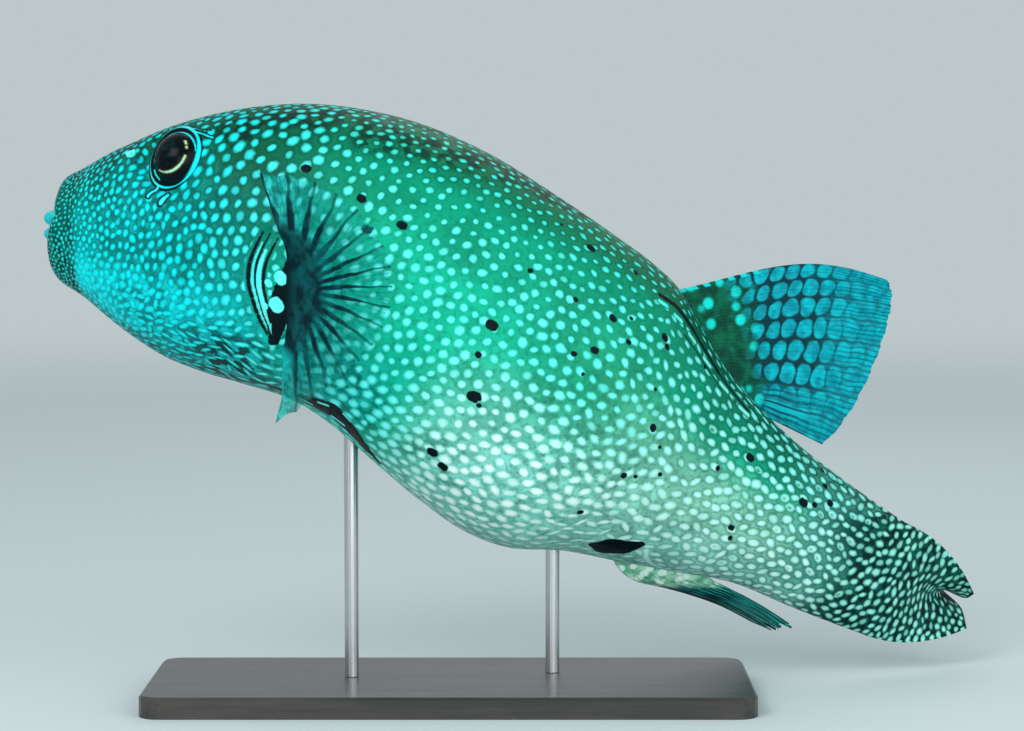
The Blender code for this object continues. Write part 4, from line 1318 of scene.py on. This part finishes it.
def dorsal_paint():
    """Green flesh at the root with large pale spots; then rows of rounded pale windows between dark rays and
    cross bars; at the margin pale skin with fine branching rays."""
    paint = Paint("dorsal_paint")
    k, r, reach = paint.read("across"), paint.read("out"), paint.read("reach")
    waver = paint.minus(paint.noise(70, 2.0), 0.5)
    row = paint.scaled(k, DORSAL_RAYS, paint.times(waver, 0.30))
    number = paint.math("FLOOR", row)
    shift = paint.add("ShaderNodeTexWhiteNoise", "Value", {"noise_dimensions": "1D"}, W=number)
    cell = paint.scaled(reach, 1 / WINDOW_LENGTH, paint.times(shift, 3.7))
    cell = paint.plus(cell, paint.times(waver, 0.5))
    # sets the windows square to the rays
    cell = paint.scaled(paint.minus(row, number), 0.72, cell)
    # a window is a rounded square between two rays and two cross bars
    wide = paint.step(r, 0.25, 0.55, 2.50, 2.12)
    sides = [
        paint.math("POWER", paint.times(paint.minus(0.5, paint.off_whole(count)), wide), 2.4)
        for count in (row, cell)
    ]
    window = paint.step(paint.plus(*sides), 1.2, 0.55)
    flesh = paint.step(paint.plus(r, paint.times(waver, 0.14)), 0.40, 0.22)
    margin = paint.step(paint.plus(r, paint.times(waver, 0.2)), 0.62, 0.88)
    rear = paint.times(paint.step(k, 0.72, 0.84), paint.step(r, 0.26, 0.40))
    margin = paint.most(margin, rear)
    cloud = paint.step(paint.noise(200, 2.0), 0.3, 0.7)
    membrane = paint.mix(cloud, tint(1, 132, 148), tint(4, 176, 190))
    dark = tint(1, 52, 60)
    colour = paint.mix(window, dark, membrane)
    fine = paint.step(paint.off_whole(paint.times(row, 5.0)), 0.06, 0.26)
    striped = paint.mix(paint.scaled(fine, 0.65, 0.35), tint(2, 84, 94), membrane)
    striped = paint.mix(paint.times(paint.minus(1.0, window), 0.30), striped, dark)
    colour = paint.mix(margin, colour, striped)
    # at the rear, dark rays close together with long pale bars between them, one bar paler than the others
    rays = paint.step(paint.off_whole(paint.times(row, 3.0)), 0.26, 0.08)
    rays = paint.times(rays, paint.step(r, 0.90, 0.45, 0.20, 0.85))
    colour = paint.mix(paint.times(rear, rays), colour, dark)
    off_streak = paint.unsigned(paint.minus(row, STREAK_ROW))
    streak = paint.times(paint.step(off_streak, 0.16, 0.08), paint.step(r, 0.28, 0.40))
    streak = paint.times(streak, paint.step(r, 0.90, 0.60, 0.0, 0.7))
    colour = paint.mix(streak, colour, tint(4, 184, 196))
    # the flesh at the root, with a few large pale spots
    base = paint.mix(paint.step(paint.noise(120, 3.0), 0.35, 0.65), tint(1, 62, 48), tint(2, 98, 70))
    base = paint.mix(paint.step(paint.from_cell(88.0, 0.75), 0.38, 0.18), base, tint(16, 214, 204))
    colour = paint.mix(flesh, colour, base)
    # beads along the first ray
    bead = paint.step(paint.off_whole(paint.times(reach, 1 / BEAD_LENGTH)), 0.2, 0.32)
    bead = paint.times(bead, paint.step(k, 0.036, 0.024))
    colour = paint.mix(paint.times(bead, paint.step(r, 0.5, 0.4)), colour, tint(10, 200, 204))
    paint.bump_of(paint.plus(paint.noise(900, 2.0), fine), 0.0003, 0.5)
    return paint.set(Base_Color=colour, Roughness=0.42, Specular_IOR_Level=0.07)


k, r = np.linspace(0, 1, 240), np.linspace(0, 1, 110)
sheet, reach_mm = dorsal_sheet(k, r)
fin_piece(
    "dorsal_blade", "dorsal_fin", sheet, fin_thickness(r, DORSAL_THICK)[:, None], k, r,
    ray_ridge(k, r, DORSAL_RAYS, 0.0003, 0.25), dorsal_paint(), reach_mm,
)


# ======================================================================== anal fin
# The anal fin, half closed and swept back under the tail; made and fixed as the dorsal fin is.

ANAL_ROOT = (0.795, 0.868)
ANAL_LENGTHS = (0.128, 0.073)  # of the first ray and the last
ANAL_LIFTS = (0.120, 0.060)  # radians above the line of the belly, of the first ray and the last
ANAL_SWING = 0.034  # how far the first ray's tip lies to the right
ANAL_SAG = 0.046
ANAL_THICK = 0.013
ANAL_RAYS = 9


def belly_point(u, sunk):
    """A point on the middle of the belly, sunk into it."""
    point, _, up, _ = spine(u)
    return point - up * (section(u)[1] - sunk)[..., None]


def anal_sheet(k, r):
    """Straight rays from the belly to a line of tips, sagging near their roots. With it, the distance along
    each ray in mm."""
    share = ANAL_ROOT[0] + (ANAL_ROOT[1] - ANAL_ROOT[0]) * k
    _, back, up, left = spine(ANAL_ROOT[0])
    lift = (ANAL_LIFTS[0] + (ANAL_LIFTS[1] - ANAL_LIFTS[0]) * k)[:, None]
    length = (ANAL_LENGTHS[0] + (ANAL_LENGTHS[1] - ANAL_LENGTHS[0]) * k)[:, None]
    length = length * (notched(k, ANAL_RAYS, 0.08) * notched(k, 3.3, 0.09))[:, None]
    ray = back * np.cos(lift) + up * np.sin(lift)
    tip = belly_point(share, 0.0) + length * ray - left * (ANAL_SWING * (1 - k))[:, None]
    root = belly_point(share, ROOT_SUNK)
    sag = ANAL_SAG * np.outer(np.sqrt(r) * (1 - r) ** 3, 1 - 0.6 * k)
    return root + (tip - root) * r[:, None, None] - up * sag[..., None], np.outer(r, length[:, 0]) * 1000


def anal_paint():
    """Pale-spotted grey green flesh, then dark bundled rays with paler skin between them."""
    paint = Paint("anal_paint")
    k, r = paint.read("across"), paint.read("out")
    waver = paint.minus(paint.noise(60, 2.0), 0.5)
    row = paint.scaled(k, ANAL_RAYS * 2, paint.times(waver, 0.9))
    stripe = paint.step(paint.off_whole(row), 0.12, 0.34)
    # broken by streaks much longer than wide
    k_wide, r_wide = paint.times(k, 60.0), paint.times(r, 5.0)
    streaks = paint.noise(1.0, 2.0, where=paint.add("ShaderNodeCombineXYZ", 0, X=k_wide, Y=r_wide))
    stripe = paint.times(stripe, paint.step(streaks, 0.35, 0.62, 0.25, 1.0))
    colour = paint.mix(stripe, tint(1, 50, 56), tint(40, 176, 166))
    cloud = paint.step(paint.noise(150, 2.0), 0.35, 0.65)
    base = paint.mix(cloud, tint(84, 170, 140), tint(170, 226, 196))
    base = paint.mix(paint.step(paint.from_cell(150.0, 0.8), 0.5, 0.3), base, tint(220, 252, 240))
    flesh = paint.step(paint.plus(r, paint.times(waver, 0.12)), 0.34, 0.22)
    paint.bump_of(paint.plus(paint.noise(900, 2.0), stripe), 0.0003, 0.5)
    return paint.set(Base_Color=paint.mix(flesh, colour, base), Roughness=0.45, Specular_IOR_Level=0.07)


k, r = np.linspace(0, 1, 150), np.linspace(0, 1, 90)
sheet, reach_mm = anal_sheet(k, r)
fin_piece(
    "anal_blade", "anal_fin", sheet, fin_thickness(r, ANAL_THICK)[:, None], k, r,
    ray_ridge(k, r, ANAL_RAYS, 0.0004, 0.2), anal_paint(), reach_mm,
)


# ======================================================================== pectoral fins
# A broad fan behind each gill slit, spread to brake: dark rays leave the rim of a fleshy lobe, and the
# skin between them is so thin that the spots of the flank show through it.

PECTORAL_SHARE = 0.268
PECTORAL_CENTRE = (0.0055, -0.0159)  # where the rays meet: behind the share above, and above the spine
PECTORAL_ROOT = ((-0.0125, 0.0101), (0.0030, -0.0505))  # the same for the top and the foot of the root
PECTORAL_TURN = (2.08, -1.48)  # radians above the line to the tail, of the first ray and the last
PECTORAL_REACH = (0.052, 0.013, 0.011)  # of the middle ray, and more at the first and at the last
PECTORAL_MIDDLE = 0.35  # turn of the middle ray
PECTORAL_LOBE = 0.30  # share of a ray's parameter inside the lobe
PECTORAL_RIM = (0.27, 0.29)  # share of the reach at the lobe's rim, and more at the first and last rays
PECTORAL_RISE = (-0.012, 0.024)  # out from the flank: root, and rise over the lobe
PECTORAL_FLARE = (-0.007, 0.0255)  # out from the lobe's rim: tips of the outer rays, and more in the middle
PECTORAL_THICK = 0.011
PECTORAL_RAYS = 17
PECTORAL_HANG = 0.93  # share of the belly's depth from which the lowest rays hang straight down


def surface_out(u, upward):
    """How far out from the spine the skin is at that height above it, by the superellipse's own formula."""
    height, depth, half, square = section(u)
    ratio = np.minimum(np.where(upward >= 0, upward / height, -upward / depth), PECTORAL_HANG)
    power = np.where(upward >= 0, square, BELLY_SQUARENESS)
    return half * (1 - ratio**power) ** (1 / power)


def pectoral_sheet(k, r, side, spread):
    """Rays fan out from a point: reach by a parabola of the turn, the lobe first, then the free rays."""
    k, r = k[None, :], r[:, None]
    turn = PECTORAL_TURN[0] * spread + (PECTORAL_TURN[1] - PECTORAL_TURN[0]) * spread * k
    middle, more, lowest = PECTORAL_REACH
    widest = PECTORAL_TURN[0] - PECTORAL_MIDDLE
    reach = middle + more * ((turn - PECTORAL_MIDDLE) / widest) ** 2
    reach = reach + lowest * spread * np.clip((k - 0.86) / 0.14, 0, 1)
    rim = PECTORAL_RIM[0] + PECTORAL_RIM[1] * (2 * k - 1) ** 2
    lobe = np.clip(r / PECTORAL_LOBE, 0, 1)
    ray = np.clip((r - PECTORAL_LOBE) / (1 - PECTORAL_LOBE), 0, 1)
    reach = reach * (1 - 0.03 * ray * np.abs(np.sin(np.pi * PECTORAL_RAYS * k)) ** 1.5)
    radius = reach * (rim + (1 - rim) * ray)
    (top_back, top_up), (low_back, low_up) = PECTORAL_ROOT
    backward = (top_back + (low_back - top_back) * k) * (1 - lobe)
    backward = backward + (PECTORAL_CENTRE[0] + radius * np.cos(turn)) * lobe
    upward = (top_up + (low_up - top_up) * k) * (1 - lobe)
    upward = upward + (PECTORAL_CENTRE[1] + radius * np.sin(turn)) * lobe
    facing = np.clip(np.cos((turn - PECTORAL_MIDDLE) / 1.25), 0, 1)
    out = PECTORAL_RISE[0] + PECTORAL_RISE[1] * lobe**0.8
    out = out + (PECTORAL_FLARE[0] + PECTORAL_FLARE[1] * facing) * ray
    out = out + 0.0011 * ray * np.cos(2 * np.pi * PECTORAL_RAYS * k)
    length = np.linalg.norm(spine(0.3)[0] - spine(0.2)[0]) / 0.1
    share = PECTORAL_SHARE + backward / length
    point, _, up, left = spine(share)
    lateral = surface_out(share, upward) + out
    sheet = point + up * upward[..., None] + left * side * lateral[..., None]
    return sheet, radius * 1000


def pectoral_paint():
    """A near-black lobe, dark rays that thin towards their tips, and clear skin tinted pale between them."""
    paint = Paint("pectoral_paint")
    k, r = paint.read("across"), paint.read("out")
    waver = paint.minus(paint.noise(90, 2.0), 0.5)
    row = paint.scaled(k, PECTORAL_RAYS, paint.times(waver, 0.35))
    width = paint.step(r, 0.3, 0.85, 0.34, 0.05)
    strand = paint.step(paint.math("DIVIDE", paint.off_whole(row), width), 1.3, 0.6)
    fork = paint.step(paint.off_whole(paint.times(row, 3.0)), 0.22, 0.06)
    fork = paint.times(fork, paint.step(r, 0.5, 0.75))
    strand = paint.most(strand, paint.times(fork, 0.45))
    hub = paint.step(paint.plus(r, paint.times(waver, 0.22)), 0.50, 0.29)
    cloud = paint.step(paint.noise(110, 3.0), 0.4, 0.65)
    ink = paint.mix(cloud, tint(1, 34, 42), tint(4, 78, 80))
    ink = paint.mix(paint.step(r, 0.20, 0.08), ink, tint(1, 26, 32))
    # the lowest rays are pale teal: partly their own colour, partly a painted highlight
    ink = paint.mix(paint.step(k, 0.93, 0.985), ink, tint(16, 168, 164))
    skin_tint = paint.step(paint.noise(260, 2.0), 0.3, 0.7)
    skin_tint = paint.mix(skin_tint, tint(3, 122, 116), tint(30, 206, 196))
    solid = paint.most(paint.times(strand, paint.step(r, 0.4, 0.95, 1.0, 0.5)), hub)
    colour = paint.mix(paint.most(strand, hub), skin_tint, ink)
    clear = paint.step(r, 0.38, 0.55, 0.50, 0.13)  # how much the clear skin covers what lies behind it
    # the skin is thicker, with pale streaks, at the first and last rays
    edge = paint.most(paint.step(k, 0.16, 0.03), paint.step(k, 0.90, 0.97))
    streaks = paint.step(paint.off_whole(paint.times(k, 95.0)), 0.15, 0.35)
    streaks = paint.times(edge, paint.scaled(streaks, 0.22, 0.12))
    clear = paint.plus(clear, streaks)
    clear = paint.plus(clear, paint.step(k, 0.88, 0.97, 0.0, 0.30))
    alpha = paint.add("ShaderNodeMapRange", 0, Value=solid, To_Min=clear, To_Max=1.0)
    paint.bump_of(paint.plus(paint.noise(800, 2.0), strand), 0.0003, 0.5)
    return paint.set(Base_Color=colour, Roughness=0.4, Specular_IOR_Level=0.05, Alpha=alpha)


pectoral = pectoral_paint()
k, r = np.linspace(0, 1, 290), np.linspace(0, 1, 90)
rounded = np.sin(np.pi * (0.06 + 0.88 * k))
thick = FIN_EDGE + (PECTORAL_THICK - FIN_EDGE) * rounded**0.8
thick = FIN_EDGE + (thick - FIN_EDGE) * np.clip(1 - r[:, None] / FLESHY_REACH, 0, 1) ** 1.6
for name, node, side, spread in (
    ("pectoral_blade_left", "pectoral_fin_left", 1, 1.0),
    ("pectoral_blade_right", "pectoral_fin_right", -1, 0.8),
):
    sheet, reach_mm = pectoral_sheet(k, r, side, spread)
    fin_piece(
        name, node, sheet, thick, k, r, ray_ridge(k, r, PECTORAL_RAYS, 0.00035, 0.3), pectoral, reach_mm
    )


# ======================================================================== stand
# A flat base of black-stained wood under satin lacquer, and two steel rods pushed up into the body.


def wood_paint():
    """Black stain over long grain: rings stretched along the base, with fine pores."""
    paint = Paint("stained_wood")
    grain = paint.noise(1.0, 6.0, where=paint.place((9, 130, 130)), rough=0.65)
    pores = paint.step(paint.noise(1.0, 2.0, where=paint.place((60, 1400, 1400))), 0.62, 0.72)
    colour = paint.mix(paint.step(grain, 0.3, 0.7), (0.010, 0.009, 0.008), (0.040, 0.034, 0.029))
    colour = paint.mix(pores, colour, (0.004, 0.004, 0.004))
    paint.bump_of(paint.minus(grain, pores), 0.0003, 0.4)
    return paint.set(Base_Color=colour, Roughness=0.38, Coat_Weight=0.3, Coat_Roughness=0.2)


def steel_paint():
    """Brushed along the rod: fine upright scratches in the roughness."""
    paint = Paint("brushed_steel")
    scratches = paint.noise(1.0, 3.0, where=paint.place((2500, 2500, 12)))
    colour = paint.mix(scratches, (0.42, 0.43, 0.44), (0.62, 0.63, 0.64))
    paint.bump_of(scratches, 0.0001, 0.4)
    return paint.set(
        Base_Color=colour, Metallic=1.0, Roughness=paint.step(scratches, 0.2, 0.8, 0.22, 0.4)
    )


wood, steel = wood_paint(), steel_paint()
for name, finish in (("stand_base", wood), ("stand_rod_front", steel), ("stand_rod_rear", steel)):
    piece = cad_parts[name].data
    for slot_number in range(len(piece.materials)):
        piece.materials[slot_number] = finish


# ======================================================================== studio
# A pale matt floor that runs into a pale backdrop, four broad soft lamps, and the camera on the fish's left,
# a little above its middle.

CAMERA_AIM = (0.0349, 0.0, 0.189)
CAMERA_DISTANCE = 1.6
CAMERA_RISE = np.radians(4)
CAMERA_SENSOR = 36  # mm
VIEW_WIDTH = 0.5765  # width of the view at the fish
BACKDROP = (0.60, 0.68, 0.70)
BACKDROP_LIGHT = 0.85
LAMP_AIM = (0.03, 0, 0.2)
# name, place, side of the square, watts
LAMPS = (
    ("key", (-0.9, -1.3, 1.3), 1.0, 17),
    ("fill", (1.4, -1.1, 0.8), 1.4, 11),
    ("low", (0.2, -1.3, 0.10), 1.2, 11),
    ("rim", (0.4, 1.4, 1.4), 1.0, 4),
)


def floor_paint():
    """Matt pale paint that fades with distance into the light of the backdrop, so that no edge shows."""
    paint = Paint("pale_floor")
    paint.set(Base_Color=(0.62, 0.68, 0.69, 1), Roughness=0.8, Specular_IOR_Level=0.1)
    away = paint.step(paint.length_of(paint.place()), 0.9, 4.0)
    glow = paint.add("ShaderNodeEmission", 0, Color=BACKDROP + (1,), Strength=BACKDROP_LIGHT)
    blend_in = paint.add("ShaderNodeMixShader", 0, _0=away, _1=paint.finish.outputs[0], _2=glow)
    paint.links.new(blend_in, paint.nodes["Material Output"].inputs["Surface"])
    return paint.material


bpy.ops.mesh.primitive_plane_add(size=60, location=(0, 0, 0))
floor = bpy.context.object
floor.name = "floor"
floor.data.materials.append(floor_paint())
world = bpy.data.worlds.new("studio")
bpy.context.scene.world = world
world.use_nodes = True
backdrop = world.node_tree.nodes["Background"]
backdrop.inputs["Color"].default_value = BACKDROP + (1,)
backdrop.inputs["Strength"].default_value = BACKDROP_LIGHT

for name, place, size, power in LAMPS:
    lamp = bpy.data.lights.new(name, "AREA")
    lamp.size, lamp.energy = size, power
    item = bpy.data.objects.new(name, lamp)
    bpy.context.scene.collection.objects.link(item)
    item.location = place
    direction = Vector(LAMP_AIM) - Vector(place)
    item.rotation_euler = direction.to_track_quat("-Z", "Y").to_euler()
    item.visible_camera = False

camera = bpy.data.objects.new("camera", bpy.data.cameras.new("camera"))
bpy.context.scene.collection.objects.link(camera)
camera.data.sensor_width = CAMERA_SENSOR
camera.data.lens = CAMERA_SENSOR * CAMERA_DISTANCE / VIEW_WIDTH
camera.location = (
    CAMERA_AIM[0],
    -CAMERA_DISTANCE * np.cos(CAMERA_RISE),
    CAMERA_AIM[2] + CAMERA_DISTANCE * np.sin(CAMERA_RISE),
)
camera.rotation_euler = (np.pi / 2 - CAMERA_RISE, 0, 0)
bpy.context.scene.camera = camera
bpy.context.scene.view_settings.view_transform = "Standard"
